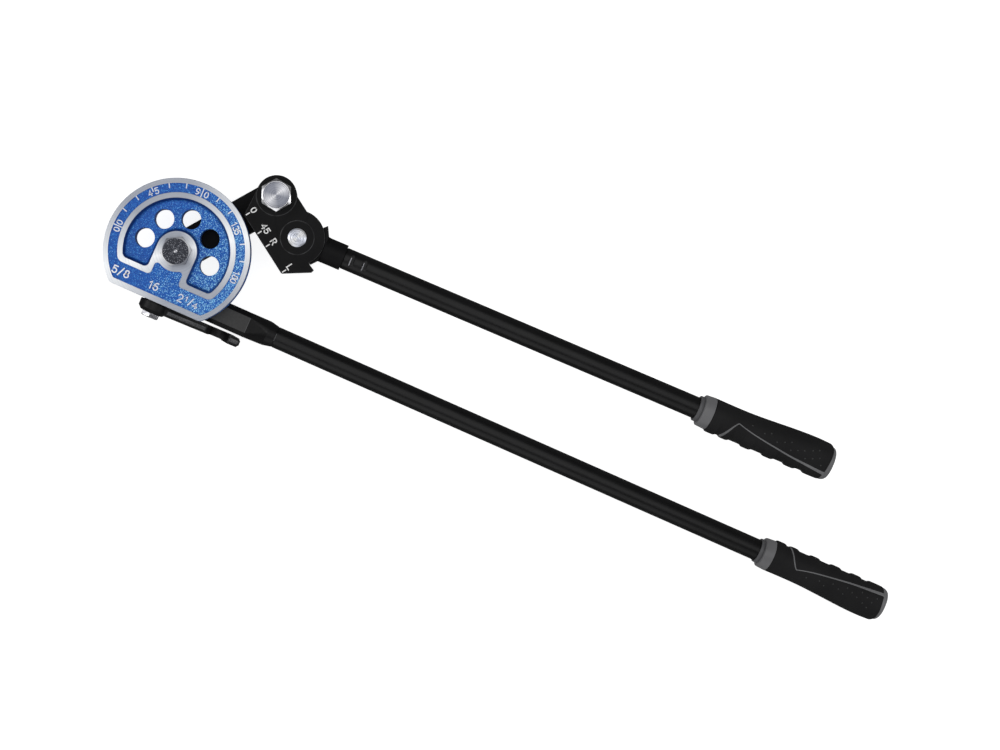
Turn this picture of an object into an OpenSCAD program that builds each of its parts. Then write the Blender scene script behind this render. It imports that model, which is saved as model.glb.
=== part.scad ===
// Lever tube bender for one tube size, lying flat with the face of its form wheel up.
// The wheel axis is +Z, the long handle runs along +X, and the 90 mark is at +Y.
// Every length is in millimetres. The tool rests on z = 0.

/* [Tube and bend] */
// Outside diameter of the tube that is bent
tube_od = 15.875; // [12:0.005:20]
// Bend radius to the middle of the tube
bend_r = 57.15; // [50:0.05:70]
// Radial room between the tube and a groove
tube_room = 0.16; // [0.05:0.01:0.4]
// Height of the groove's middle plane above the table
mid_z = 44.5; // [40:0.5:50]

/* [Form wheel] */
// Radius of the wheel's rim
wheel_r = 56.4; // [50:0.1:60]
// Thickness of the wheel
wheel_t = 25; // [23:0.5:30]
// Distance from the axis to the flat
flat_y = 42; // [39:0.1:45]
// Width of the bare land at the rim
rim_land = 3.9; // [3:0.1:5]
// Width of the bare land at the flat
flat_land = 4.4; // [3:0.1:6]
// Radius of the two corners where the rim meets the flat
flat_corner_r = 5; // [2:0.1:8]
// Depth of the painted scale band below the lands
band_depth = 0.8; // [0.4:0.1:1.2]
// Outer radius of the inner bare rib
rib_r = 45.4; // [44:0.1:47]
// Width of the inner bare rib
rib_w = 4.2; // [3:0.1:5]
// Distance from the axis to the lower edge of the rib
rib_y = 24.2; // [22:0.1:26]
// Radius of the bare boss at the wheel's middle
boss_r = 15.7; // [14:0.1:17]
// Depth of the horseshoe pocket
pocket_depth = 5.5; // [3:0.1:8]
// Draft of the pocket's walls, from top to floor
pocket_draft = 1.6; // [0.5:0.1:3]
// Diameter of the five lightening holes
hole_d = 15.2; // [13:0.1:17]
// Radius of the circle of lightening holes
hole_ring_r = 27; // [26:0.1:28]
// Depth of the relief in the back of the wheel
back_relief = 4; // [2:0.5:6]

/* [Pivot bolts] */
// Shank diameter of the two pivot bolts
pivot_d = 14; // [12:0.5:16]
// Height of a pivot bolt's head
pivot_head_h = 8.8; // [7:0.1:10]
// Size across the flats of the centre bolt's head
centre_af = 21; // [19:0.5:24]
// Size across the flats of the shoe bolt's head
shoe_af = 22; // [19:0.5:24]
// Height of the back nuts
nut_h = 13.2; // [10:0.1:15]
// Thickness of the washers under the back nuts
nut_washer_t = 2.5; // [2:0.1:3]
// Diameter of the washers on the pivot bolts
pivot_washer_d = 27; // [24:0.5:28]
// Radial room of a shaft that turns or slides in its bore
run_fit = 0.05; // [0.02:0.01:0.1]
// Room along an axis between faces that turn against each other
axial_gap = 0.1; // [0.05:0.01:0.2]

/* [Link arm] */
// Distance from the wheel's axis to the shoe bolt
link_l = 87.7; // [84:0.1:95]
// Angle of the link from +X in the photographed pose
link_angle = 53.1; // [0:0.1:180]
// Width of the link arm
link_w = 28.7; // [24:0.1:31]
// Thickness of the link arm
link_t = 9.8; // [8:0.1:12]
// Thickness of the thrust washer between wheel and link
thrust_t = 1; // [0.5:0.1:2]
// Wall of the bush in the link arm
bush_wall = 2; // [1.5:0.1:3]

/* [Forming shoe] */
// Tilt of the shoe on its bolt in the photographed pose
shoe_tilt = 3.1; // [0:0.1:10]
// Thickness of the shoe
shoe_t = 23; // [20:0.5:24]
// Gap between the shoe's grooved edge and the wheel's rim
shoe_gap = 2.3; // [1.5:0.1:3]
// End of the grooved edge beyond the bolt
shoe_u0 = -0.5; // [-3:0.1:2]
// Other end of the grooved edge
shoe_u1 = 52.2; // [50:0.1:55]
// Far corner of the shoe along the edge
shoe_heel_u = 63.8; // [62:0.1:66]
// Far corner of the shoe across the edge
shoe_heel_v = -9.2; // [-11:0.1:-8]
// Radius of the boss round the shoe bolt
shoe_boss_r = 15.6; // [15:0.1:17]
// Height of that boss above the shoe's face
shoe_boss_h = 1; // [0.5:0.1:2]
// Level of the straight back between the two bosses
shoe_back_v = 13; // [12:0.1:14]
// Place of the rivet along the edge
rivet_u = 35.7; // [34:0.1:37]
// Place of the rivet across the edge
rivet_v = -4; // [-5:0.1:-3]
// Radius of the shoe round the rivet
hinge_r = 21.3; // [20.5:0.1:22]
// Reach of the shoe's stop from the rivet
stop_r = 27.8; // [26:0.1:30]
// Lean of the stop's tip towards the handle
stop_lean = 2.3; // [0:0.1:4]
// Diameter of the rivet's shank
rivet_d = 11; // [10:0.1:12]
// Diameter of the rivet's heads
rivet_head_d = 14.4; // [13:0.1:15]
// Narrowing of the rivet's heads
rivet_taper = 1.2; // [0.6:0.1:2]
// Height of the rivet's upper head
rivet_head_h = 1.6; // [1:0.1:2]
// Height of the rivet's lower head, which passes over the shank
rivet_foot_h = 0.6; // [0.3:0.1:0.7]
// Radius of the raised pad round the rivet
rivet_pad_r = 13; // [12:0.1:14]
// Height of that pad
rivet_pad_h = 0.5; // [0.3:0.1:1]
// Width of the slot for the handle's tongue
slot_w = 10; // [9:0.1:11]
// Room round the tongue in the plane of the slot
slot_room = 0.6; // [0.4:0.1:1]

/* [Short handle] */
// Angle of the short handle from +X in the photographed pose
short_angle = 0.8; // [0:0.1:3]
// Swing of the short handle on its rivet
short_swing = 46; // [40:1:48]
// Thickness of the tongue
tongue_t = 9.6; // [9:0.1:10.5]
// Length of the tongue from the rivet into the neck
tongue_l = 24; // [23:0.1:28]
// Place from the rivet where the upper ear's back runs into the neck
ear_up_x = 22.3; // [22:0.1:24]
// Place from the rivet where the lower ear's back runs into the neck
ear_low_x = 21.2; // [20.5:0.1:23]
// Radius of the tongue's eye
eye_r = 12.4; // [11:0.1:12.6]
// Diameter of the yoke's neck
neck_d = 20.4; // [18:0.1:22]
// End of the neck, from the rivet
neck_x1 = 38.8; // [36:0.1:42]
// Reach of the upper ear from the rivet
ear_r = 25.4; // [24:0.1:27]
// Reach of the lower ear from the rivet
ear_low_r = 22.7; // [22:0.1:24]
// Angle of the upper ear's end
ear_up = 44; // [42:0.1:46]
// Angle of the lower ear's end
ear_low = 41.2; // [38:0.1:42]
// Gap between the lower ear and the shoe's stop
ear_gap = 0.4; // [0.3:0.1:1]
// Room between the ears' hollow and the shoe's round back
ear_clear = 0.4; // [0.3:0.1:1]
// Place of the first crimp, from the rivet
crimp_a = 45.4; // [44:0.1:48]
// Place of the second crimp, from the rivet
crimp_b = 55.9; // [54:0.1:58]
// Radius of a crimp's hollow
crimp_r = 2.4; // [1.5:0.1:3]
// Depth of a crimp in the tube
crimp_depth = 1.2; // [0.6:0.1:1.6]
// End of the short handle, from the rivet
short_end = 445.8; // [400:0.1:500]

/* [Handle tubes] */
// Outside diameter of the handle tubes
handle_od = 17; // [15:0.1:19]
// Inside diameter of the handle tubes
handle_id = 12.2; // [11:0.1:14]
// Length of a spigot in its tube
spigot_l = 26; // [20:1:40]
// Radial room between pieces that are pressed or glued
glue_fit = 0.02; // [0.01:0.01:0.05]

/* [Long handle] */
// Distance from the wheel's axis to the long handle's axis
long_y = 30.6; // [29:0.1:32]
// End of the long handle
long_end = 617; // [560:0.1:680]
// Width of the shank
shank_w = 20; // [18:0.1:21]
// Thickness of the shank under the wheel
shank_t = 18; // [16:0.5:20]
// Chamfer along the shank's edges
shank_chamfer = 3.7; // [1:0.1:5]
// Hidden end of the shank
shank_x0 = -36; // [-38:0.5:-30]
// End of the shank's flat
shank_x1 = 72; // [68:0.1:80]
// End of the slope down to the round neck
shank_neck_x = 87.6; // [84:0.1:92]
// End of the neck, where the tube begins
shank_x2 = 94.6; // [93:0.1:105]
// Diameter of the two shank screws
screw_d = 8; // [6:1:10]
// Place of the shank screws on either side of the wheel's axis
screw_x = 22; // [18:0.5:26]
// Depth of the screws in the wheel
screw_bite = 13.5; // [10:0.5:15]
// Diameter of the screws' heads
screw_head_d = 13; // [10:0.5:14]
// Height of the screws' heads
screw_head_h = 8; // [6:0.5:9]
// Size across the corners of the screws' hexagon sockets
socket_d = 7; // [5:0.1:8]
// Depth of the screws' sockets
socket_h = 4; // [3:0.1:5]

/* [Grips] */
// Size of the long handle's grip against the short handle's
long_grip_k = 0.96; // [0.9:0.01:1]
// Length of the short handle's grip
grip_l = 111.5; // [100:0.5:125]
// Radius of the thin front ring
grip_ring_r = 10.2; // [9.5:0.1:11]
// Length of the thin front ring
grip_ring_l = 3.6; // [3:0.1:8]
// Radius of the collar at its front
grip_collar_r = 12.4; // [11.5:0.1:13]
// Length of the collar
grip_collar_l = 8.1; // [6:0.1:10]
// Radius of the sleeve, and of the collar where they meet
grip_r = 13; // [12:0.1:14]
// Radius of the lobe under the fingers
lobe_r = 11.6; // [11:0.1:12]
// Reach of the finger bumps from the axis
lobe_reach = 14.1; // [13.5:0.1:15]
// Place of the narrow nick before the first finger hollow
nick_x = 21.8; // [20:0.1:24]
// Radius of that nick
nick_r = 2.5; // [1.5:0.1:4]
// First finger hollow, from the grip's front
hollow_x = 37; // [34:0.1:40]
// Pitch of the finger hollows
hollow_pitch = 18.3; // [15:0.1:20]
// Number of finger hollows
hollow_n = 4; // [3:1:5]
// Radius of a finger hollow
hollow_r = 11; // [7:0.1:14]
// Start of the palm swell
swell_x = 45; // [40:1:60]
// Length over which the palm swell reaches its end radius
swell_l = 80; // [70:1:90]
// Lean of the palm swell
swell_lean = 2.5; // [0:0.1:3]
// End radius of the palm swell
swell_r = 14; // [12.9:0.1:14.5]
// Length of the end cap
cap_l = 5; // [4:0.1:8]
// Radius of the end cap
cap_r = 14.5; // [13:0.1:15]
// Radius of the end cap's flat end
cap_flat_r = 11.5; // [9:0.1:12]
// Shift of the end cap towards the palm
cap_shift = 0.8; // [0:0.1:1.5]
// Narrowing of the sleeve towards the end cap, per millimetre
end_taper = 0.13; // [0.05:0.01:0.2]

/* [Latch] */
// Place of the latch bolt along the flat
latch_x = 0; // [-5:0.1:5]
// Droop of the open latch
latch_droop = 22; // [15:0.5:23]
// Radius of the latch's eye
latch_eye_r = 11.5; // [10:0.1:13]
// Thickness of the eye
latch_eye_t = 8; // [6:0.1:9]
// Thickness of the latch's plate
latch_t = 6.5; // [5:0.1:7.5]
// Thickness of the latch's end block
latch_end_t = 7.3; // [6:0.1:9]
// Cone at the outer edge of the latch's eye
eye_round = 2.6; // [1:0.1:3]
// Reach of the latch from its bolt
latch_reach = 75.5; // [72:0.1:78]
// Depth of the latch below its bolt
latch_low = 15; // [14:0.1:16]
// Height of the hook's tip above the bolt's level
latch_tip = 4; // [2:0.1:6]
// Thickness of the spacer between latch and wheel
latch_spacer_t = 1; // [0.5:0.1:3]
// Diameter of that spacer
latch_spacer_d = 18; // [14:0.5:22]
// Diameter of the latch bolt
latch_bolt_d = 8; // [6:1:10]
// Size across the flats of the latch bolt
latch_bolt_af = 13; // [10:0.5:14]
// Height of the latch bolt's head
latch_bolt_h = 3.8; // [3:0.1:6]
// Depth of the latch bolt in the wheel
latch_bite = 18; // [12:0.5:20]

/* [Hidden] */
$fn = 96;
eps = 0.01;
groove_r = tube_od / 2 + tube_room;
wheel_z0 = mid_z - wheel_t / 2;
wheel_z1 = mid_z + wheel_t / 2;
pocket_r = rib_r - rib_w;
leg_in = boss_r - rib_w;
band_r = wheel_r - rim_land;
pivot_bore = pivot_d + 2 * run_fit;
link_z1 = wheel_z0 - thrust_t - axial_gap;
link_z0 = link_z1 - link_t;
shoe_z0 = mid_z - shoe_t / 2;
shoe_z1 = mid_z + shoe_t / 2;
bolt_x = link_l * cos(link_angle);
bolt_y = link_l * sin(link_angle);
shoe_angle = link_angle + shoe_tilt - 90;
shoe_edge = link_l - wheel_r - shoe_gap;
groove_v = -(link_l - bend_r);
rivet_x = bolt_x + rivet_u * cos(shoe_angle) - rivet_v * sin(shoe_angle);
rivet_y = bolt_y + rivet_u * sin(shoe_angle) + rivet_v * cos(shoe_angle);
rest_local = short_angle - shoe_angle;
slot_half = neck_d / 2 + slot_room;
fan_low = ear_low + asin(slot_room / ear_low_r);
fan_up = ear_up + short_swing + asin(slot_room / ear_r);
slot_reach = 2 * hinge_r;
corner_y = -flat_y + flat_corner_r;
corner_x = sqrt(pow(wheel_r - flat_corner_r, 2) - pow(corner_y, 2));
shank_z1 = wheel_z0;
shank_z0 = shank_z1 - shank_t;
long_z = cap_r * long_grip_k;
seat_z = shank_z0 + screw_head_h + 0.5;
latch_y1 = -flat_y - latch_spacer_t - axial_gap;
latch_y0 = latch_y1 - latch_eye_t;
hook_r = bend_r + latch_x;
notch_r = groove_r + tube_room;
latch_end_w = latch_reach - hook_r - notch_r;

// Shared shapes

// A solid that keeps only what lies above a level of y
module above_y(y0) {
  translate([-400, y0, -50]) cube([800, 400, 200]);
}

// A hexagon with its corner at angle zero and a chamfered top
module hex_head(af, h) {
  intersection() {
    cylinder(d = af / cos(30), h = h, $fn = 6);
    cylinder(r1 = 0.475 * af + h / tan(30), r2 = 0.475 * af, h = h);
  }
}

// A flat ring standing on z = 0
module ring(d, bore, t) {
  difference() {
    cylinder(d = d, h = t);
    translate([0, 0, -1]) cylinder(d = bore, h = t + 2);
  }
}

// A bar or rod along +X
module rod_x(r, l) {
  rotate([0, 90, 0]) cylinder(r = r, h = l);
}

// A pipe along +X
module pipe_x(d, bore, l) {
  difference() {
    rod_x(d / 2, l);
    translate([-1, 0, 0]) rod_x(bore / 2, l + 2);
  }
}

// A hexagon-headed pivot bolt whose end stands on z = 0
module pivot_bolt(seat, af, turn) {
  cylinder(d1 = pivot_d - 2, d2 = pivot_d, h = 1);
  translate([0, 0, 1]) cylinder(d = pivot_d, h = seat - 1);
  translate([0, 0, seat]) rotate(turn) hex_head(af, pivot_head_h);
}

// A hexagon nut under a seat, chamfered at its free end
module pivot_nut(seat, af, turn) {
  difference() {
    translate([0, 0, seat]) rotate([180, 0, turn]) hex_head(af, nut_h);
    translate([0, 0, seat - nut_h - 1]) cylinder(d = pivot_d + 2 * glue_fit, h = nut_h + 2);
  }
}

// Form wheel

// The bare horseshoe rib, its legs and the boss, as one prism
module horseshoe(z0, h) {
  difference() {
    intersection() {
      translate([0, 0, z0]) cylinder(r = rib_r, h = h);
      above_y(-rib_y);
    }
    translate([-leg_in, -60, z0 - 1]) cube([2 * leg_in, 60, h + 2]);
  }
  translate([0, 0, z0]) cylinder(r = boss_r, h = h);
}

// The drafted pocket inside the horseshoe rib
module pocket() {
  floor_z = wheel_z1 - pocket_depth;
  over = 1;
  tall = pocket_depth + over;
  slope = pocket_draft / pocket_depth;
  difference() {
    intersection() {
      translate([0, 0, floor_z])
        cylinder(r1 = pocket_r - pocket_draft, r2 = pocket_r + slope * over, h = tall);
      above_y(-(rib_y - rib_w));
    }
    translate([0, 0, floor_z - 1]) cylinder(r1 = boss_r + pocket_draft + slope, r2 = boss_r - slope * over,
                                            h = tall + 1);
    translate([-boss_r, -60, floor_z - 1]) cube([2 * boss_r, 60, tall + 2]);
  }
}

// What the round corner at the right end of the flat leaves outside it
module flat_corner() {
  difference() {
    linear_extrude(height = 100)
      polygon([[corner_x, corner_y], [corner_x, -60], [60, -60], [1.5 * corner_x, 1.5 * corner_y]]);
    translate([corner_x, corner_y, -1]) cylinder(r = flat_corner_r, h = 102);
  }
}

module form_wheel() {
  color([0.12, 0.32, 0.7])
  difference() {
    intersection() {
      translate([0, 0, wheel_z0]) cylinder(r = wheel_r, h = wheel_t);
      above_y(-flat_y);
    }
    flat_corner();
    mirror([1, 0, 0]) flat_corner();
    // groove for the tube
    rotate_extrude() translate([bend_r, mid_z]) circle(r = groove_r);
    // painted scale band and number panel
    difference() {
      intersection() {
        translate([0, 0, wheel_z1 - band_depth]) cylinder(r = band_r, h = 5);
        above_y(-(flat_y - flat_land));
      }
      horseshoe(wheel_z1 - band_depth - 1, 8);
    }
    pocket();
    for (a = [0 : 45 : 180]) rotate(a) translate([hole_ring_r, 0, 0]) cylinder(d = hole_d, h = 100);
    cylinder(d = pivot_bore, h = 100);
    // relief in the back
    difference() {
      intersection() {
        translate([0, 0, wheel_z0 - 1]) cylinder(r = rib_r - 1, h = back_relief + 1);
        above_y(-(long_y - shank_w / 2) + 2);
      }
      translate([0, 0, wheel_z0 - 2]) cylinder(r = boss_r + 2, h = back_relief + 3);
    }
    // blind holes of the latch bolt and the shank screws
    translate([latch_x, -flat_y + latch_bite + 1, mid_z]) rotate([90, 0, 0])
      cylinder(d = latch_bolt_d + 2 * glue_fit, h = latch_bite + 10);
    for (s = [-1, 1]) translate([s * screw_x, -long_y, wheel_z0 - 1])
      cylinder(d = screw_d + 2 * glue_fit, h = screw_bite + 1.5);
  }
}

module centre_bolt() {
  color([0.2, 0.2, 0.22]) pivot_bolt(wheel_z1, centre_af, 30);
}

module centre_nut() {
  color([0.7, 0.7, 0.72]) pivot_nut(link_z0 - axial_gap - nut_washer_t, centre_af, 0);
}

module centre_washers() {
  color([0.7, 0.7, 0.72]) {
    translate([0, 0, wheel_z0 - thrust_t]) ring(pivot_washer_d, pivot_bore, thrust_t);
    translate([0, 0, link_z0 - axial_gap - nut_washer_t]) ring(pivot_washer_d, pivot_bore, nut_washer_t);
  }
}

// Long handle

// Cross-section of the shank, its edges chamfered, as a bar along +X
module shank_bar(x0, x1) {
  w = shank_w / 2;
  c = shank_chamfer;
  translate([x0, -long_y, 0]) rotate([90, 0, 90]) linear_extrude(height = x1 - x0)
    polygon([[-w, shank_z0 + c], [-w + c, shank_z0], [w - c, shank_z0], [w, shank_z0 + c],
             [w, shank_z1 - c], [w - c, shank_z1], [-w + c, shank_z1], [-w, shank_z1 - c]]);
}

module handle_shank() {
  color([0.13, 0.13, 0.14])
  difference() {
    union() {
      shank_bar(shank_x0, shank_x1);
      hull() {
        shank_bar(shank_x1 - 0.5, shank_x1);
        translate([shank_neck_x - 0.5, -long_y, long_z]) rotate([0, 90, 0])
          cylinder(d = shank_w, h = 0.5, $fn = 32);
      }
      translate([shank_neck_x - eps, -long_y, long_z]) rotate([0, 90, 0])
        cylinder(d1 = shank_w, d2 = handle_od, h = shank_x2 - shank_neck_x + eps);
      translate([shank_x2 - 1, -long_y, long_z]) rod_x(handle_id / 2 - glue_fit, spigot_l + 1);
    }
    for (s = [-1, 1]) translate([s * screw_x, -long_y, 0]) {
      cylinder(d = screw_d + 0.6, h = 100);
      cylinder(d = screw_head_d + 0.6, h = seat_z);
    }
  }
}

module shank_screws() {
  color([0.2, 0.2, 0.22])
  for (s = [-1, 1]) translate([s * screw_x, -long_y, 0]) difference() {
    union() {
      translate([0, 0, seat_z]) cylinder(d = screw_d, h = wheel_z0 + screw_bite - seat_z);
      translate([0, 0, seat_z - screw_head_h]) cylinder(d = screw_head_d, h = screw_head_h);
    }
    translate([0, 0, seat_z - screw_head_h - 1]) cylinder(d = socket_d, h = socket_h + 1, $fn = 6);
  }
}

module long_handle_tube() {
  color([0.12, 0.12, 0.13])
  translate([shank_x2, -long_y, long_z])
    pipe_x(handle_od, handle_id, long_end - cap_l * long_grip_k - shank_x2);
}

// Grips, built along +X from their front end with the fingers towards +Y and scaled by k afterwards

module grip_collar(k) {
  difference() {
    union() {
      rod_x(grip_ring_r, grip_ring_l + eps);
      translate([grip_ring_l, 0, 0]) rotate([0, 90, 0])
        cylinder(r1 = grip_collar_r, r2 = grip_r, h = grip_collar_l);
    }
    translate([-1, 0, 0]) rod_x((handle_od / 2 + glue_fit) / k, grip_l);
  }
}

module grip_sleeve(k) {
  x0 = grip_ring_l + grip_collar_l;
  x1 = grip_l - cap_l;
  difference() {
    intersection() {
      union() {
        translate([x0, 0, 0]) rod_x(grip_r, x1 - x0);
        difference() {
          translate([x0, lobe_reach - lobe_r, 0]) rod_x(lobe_r, x1 - x0);
          translate([nick_x, grip_r + nick_r - 0.1, -30]) cylinder(r = nick_r, h = 60);
          for (i = [0 : hollow_n - 1])
            translate([hollow_x + i * hollow_pitch, grip_r + hollow_r - 0.1, -30])
              cylinder(r = hollow_r, h = 60);
        }
        translate([swell_x, 0, 0]) rotate([0, 90, -swell_lean])
          cylinder(r1 = grip_r - 0.3, r2 = swell_r, h = swell_l);
      }
      translate([x0, -cap_shift, 0]) rotate([0, 90, 0])
        cylinder(r1 = cap_r + end_taper * (x1 - x0), r2 = cap_r, h = x1 - x0);
    }
    translate([-1, 0, 0]) rod_x((handle_od / 2 + glue_fit) / k, grip_l + 2);
  }
}

module grip_cap() {
  translate([grip_l - cap_l, -cap_shift, 0]) rotate([0, 90, 0])
    cylinder(r1 = cap_r, r2 = cap_flat_r, h = cap_l);
}

// Puts a grip on the long handle, fingers towards the short handle
module on_long() {
  translate([long_end - grip_l * long_grip_k, -long_y, long_z]) scale(long_grip_k) children();
}

// Puts a grip on the short handle, fingers towards the long handle
module on_short() {
  translate([rivet_x, rivet_y, mid_z]) rotate(short_angle) translate([short_end - grip_l, 0, 0])
    rotate([180, 0, 0]) children();
}

module long_grip_sleeve() { color([0.1, 0.1, 0.1]) on_long() grip_sleeve(long_grip_k); }
module long_grip_collar() { color([0.4, 0.4, 0.42]) on_long() grip_collar(long_grip_k); }
module long_grip_cap() { color([0.4, 0.4, 0.42]) on_long() grip_cap(); }
module short_grip_sleeve() { color([0.1, 0.1, 0.1]) on_short() grip_sleeve(1); }
module short_grip_collar() { color([0.4, 0.4, 0.42]) on_short() grip_collar(1); }
module short_grip_cap() { color([0.4, 0.4, 0.42]) on_short() grip_cap(); }

// Latch, built in the plane of x and z at its bolt and let down by its droop

module latch_hook() {
  // corner cuts of the end, from its width beyond the notch
  cut = latch_end_w / 5;
  color([0.12, 0.12, 0.13])
  translate([latch_x, latch_y1, mid_z]) rotate([0, latch_droop, 0])
  difference() {
    union() {
      rotate([90, 0, 0]) {
        cylinder(r = latch_eye_r, h = latch_eye_t - eye_round);
        translate([0, 0, latch_eye_t - eye_round])
          cylinder(r1 = latch_eye_r, r2 = latch_eye_r - eye_round, h = eye_round);
      }
      rotate([90, 0, 0]) linear_extrude(height = latch_t)
        polygon([[0, latch_eye_r - 1.5], [hook_r - notch_r - 4, 6], [hook_r - notch_r, 3],
                 [latch_reach, 3], [latch_reach, -latch_low + 2 * cut],
                 [latch_reach - 2 * cut, -latch_low], [hook_r - 14, -latch_low], [0, -latch_eye_r + 1.5]]);
      translate([hook_r + notch_r, 0, 0]) rotate([90, 0, 0]) linear_extrude(height = latch_end_t)
        polygon([[0, -latch_low + 3], [latch_end_w - cut, -latch_low + 3],
                 [latch_end_w, -latch_low + 3 + cut], [latch_end_w, latch_tip - cut],
                 [latch_end_w - cut, latch_tip], [cut / 2, latch_tip], [0, latch_tip - cut / 2]]);
    }
    translate([0, 1, 0]) rotate([90, 0, 0]) cylinder(d = latch_bolt_d + 2 * run_fit, h = latch_eye_t + 2);
    translate([hook_r, 1, 0]) rotate([90, 0, 0]) cylinder(r = notch_r, h = latch_eye_t + 4);
    translate([hook_r - notch_r, -latch_eye_t - 3, 0]) cube([2 * notch_r, latch_eye_t + 4, 30]);
    // corners of the end, cut on both sides
    translate([0, 0, -30]) linear_extrude(height = 60) {
      polygon([[latch_reach - cut, 0.1], [latch_reach + 1, 0.1], [latch_reach + 1, -cut - 1]]);
      polygon([[latch_reach - cut, -latch_end_t], [latch_reach + 1, -latch_end_t + cut + 1],
               [latch_reach + 1, -latch_end_t - 1], [latch_reach - cut, -latch_end_t - 1]]);
    }
  }
}

module latch_bolt() {
  color([0.75, 0.75, 0.77])
  translate([latch_x, latch_y0 - axial_gap, mid_z]) {
    rotate([90, 0, 0]) rotate(30) hex_head(latch_bolt_af, latch_bolt_h);
    rotate([-90, 0, 0]) cylinder(d = latch_bolt_d, h = -flat_y + latch_bite - latch_y0 + axial_gap);
  }
}

module latch_spacer() {
  color([0.75, 0.75, 0.77])
  translate([latch_x, -flat_y, mid_z]) rotate([90, 0, 0])
    ring(latch_spacer_d, latch_bolt_d + 2 * glue_fit, latch_spacer_t);
}

// Link arm and shoe bolt

// Puts a shape at the shoe bolt
module at_bolt() {
  translate([bolt_x, bolt_y, 0]) children();
}

module link_arm() {
  color([0.12, 0.12, 0.13])
  rotate(link_angle) difference() {
    union() {
      translate([0, 0, link_z0]) cylinder(d = link_w, h = link_t);
      translate([link_l, 0, link_z0]) cylinder(d = link_w, h = link_t);
      translate([0, -link_w / 2, link_z0]) cube([link_l, link_w, link_t]);
    }
    cylinder(d = pivot_d + 2 * run_fit + 2 * bush_wall + 2 * glue_fit, h = 100);
    translate([link_l, 0, 0]) cylinder(d = pivot_d + 2 * glue_fit, h = 100);
  }
}

module link_bush() {
  color([0.6, 0.45, 0.2])
  translate([0, 0, link_z0]) ring(pivot_bore + 2 * bush_wall, pivot_bore, link_t);
}

module shoe_bolt() {
  color([0.78, 0.78, 0.8])
  at_bolt() pivot_bolt(shoe_z1 + shoe_boss_h + axial_gap, shoe_af, link_angle);
}

module shoe_nut() {
  color([0.78, 0.78, 0.8]) at_bolt() pivot_nut(link_z0 - nut_washer_t, shoe_af, link_angle);
}

module shoe_washers() {
  color([0.78, 0.78, 0.8]) at_bolt() {
    translate([0, 0, link_z1]) ring(pivot_washer_d, pivot_d + 2 * glue_fit, shoe_z0 - axial_gap - link_z1);
    translate([0, 0, link_z0 - nut_washer_t]) ring(pivot_washer_d, pivot_d + 2 * glue_fit, nut_washer_t);
  }
}

// Forming shoe, built at its bolt with u along +X and the grooved edge towards -Y

// Outline of the shoe's two cheeks
module shoe_block() {
  tangent = acos(shoe_boss_r / shoe_edge);
  // a little inside the tangent point, so that line and circle cross cleanly
  inner_r = shoe_boss_r - 0.1;
  stop = rest_local - ear_low - asin(ear_gap / ear_low_r);
  translate([0, 0, shoe_z0]) {
    cylinder(r = shoe_boss_r, h = shoe_t + shoe_boss_h);
    translate([rivet_u, rivet_v, 0]) cylinder(r = hinge_r, h = shoe_t);
    linear_extrude(height = shoe_t)
      polygon([[inner_r * cos(270 - tangent), inner_r * sin(270 - tangent)],
               [shoe_u0, -shoe_edge], [shoe_u1, -shoe_edge], [shoe_heel_u, shoe_heel_v],
               [rivet_u + stop_r * cos(stop + stop_lean), rivet_v + stop_r * sin(stop + stop_lean)],
               [rivet_u + ear_low_r * cos(stop), rivet_v + ear_low_r * sin(stop)],
               [rivet_u + rivet_d * cos(stop), rivet_v + rivet_d * sin(stop)],
               [rivet_u, shoe_back_v], [0, shoe_back_v]]);
    translate([rivet_u, rivet_v, 0]) cylinder(r = rivet_pad_r, h = shoe_t + rivet_pad_h);
  }
}

module forming_shoe() {
  color([0.12, 0.12, 0.13])
  at_bolt() rotate(shoe_angle) difference() {
    shoe_block();
    // groove for the tube
    translate([-60, groove_v, mid_z]) rod_x(groove_r, 160);
    cylinder(d = pivot_bore, h = 100);
    translate([rivet_u, rivet_v, 0]) cylinder(d = rivet_d + 2 * glue_fit, h = 100);
    // slot for the tongue over its whole swing
    translate([rivet_u, rivet_v, mid_z - slot_w / 2]) rotate(rest_local) {
      cylinder(r = eye_r + slot_room, h = slot_w);
      linear_extrude(height = slot_w)
        polygon([[0, 0], slot_reach * [cos(fan_low), -sin(fan_low)], [slot_reach * 1.3, 0],
                 slot_reach * 1.3 * [cos(fan_up / 2), sin(fan_up / 2)],
                 slot_reach * [cos(fan_up), sin(fan_up)]]);
      linear_extrude(height = slot_w)
        polygon([[0, -slot_half], [40, -slot_half], [60 * cos(short_swing / 2), 60 * sin(short_swing / 2)],
                 [40 * cos(short_swing) - slot_half * sin(short_swing),
                  40 * sin(short_swing) + slot_half * cos(short_swing)],
                 [-slot_half * sin(short_swing), slot_half * cos(short_swing)]]);
    }
  }
}

module yoke_rivet() {
  color([0.8, 0.8, 0.82])
  translate([rivet_x, rivet_y, 0]) {
    translate([0, 0, shoe_z0]) cylinder(d = rivet_d, h = shoe_t + rivet_pad_h);
    translate([0, 0, shoe_z1 + rivet_pad_h])
      cylinder(d1 = rivet_head_d, d2 = rivet_head_d - rivet_taper, h = rivet_head_h);
    translate([0, 0, shoe_z0 - rivet_foot_h])
      cylinder(d1 = rivet_head_d - rivet_taper, d2 = rivet_head_d, h = rivet_foot_h);
  }
}

// Short handle, built at its rivet along +X

// Puts a shape on the short handle's axis at the rivet
module on_rivet() {
  translate([rivet_x, rivet_y, mid_z]) rotate(short_angle) children();
}

// Outline of the two ears and the web between them, from the rivet
module ear_fan() {
  polygon([[0, 0], [ear_low_r * cos(ear_low), -ear_low_r * sin(ear_low)], [ear_low_x, -neck_d / 2 + 0.05],
           [ear_up_x, neck_d / 2 - 0.05], [ear_r * cos(ear_up), ear_r * sin(ear_up)]]);
}

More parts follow.
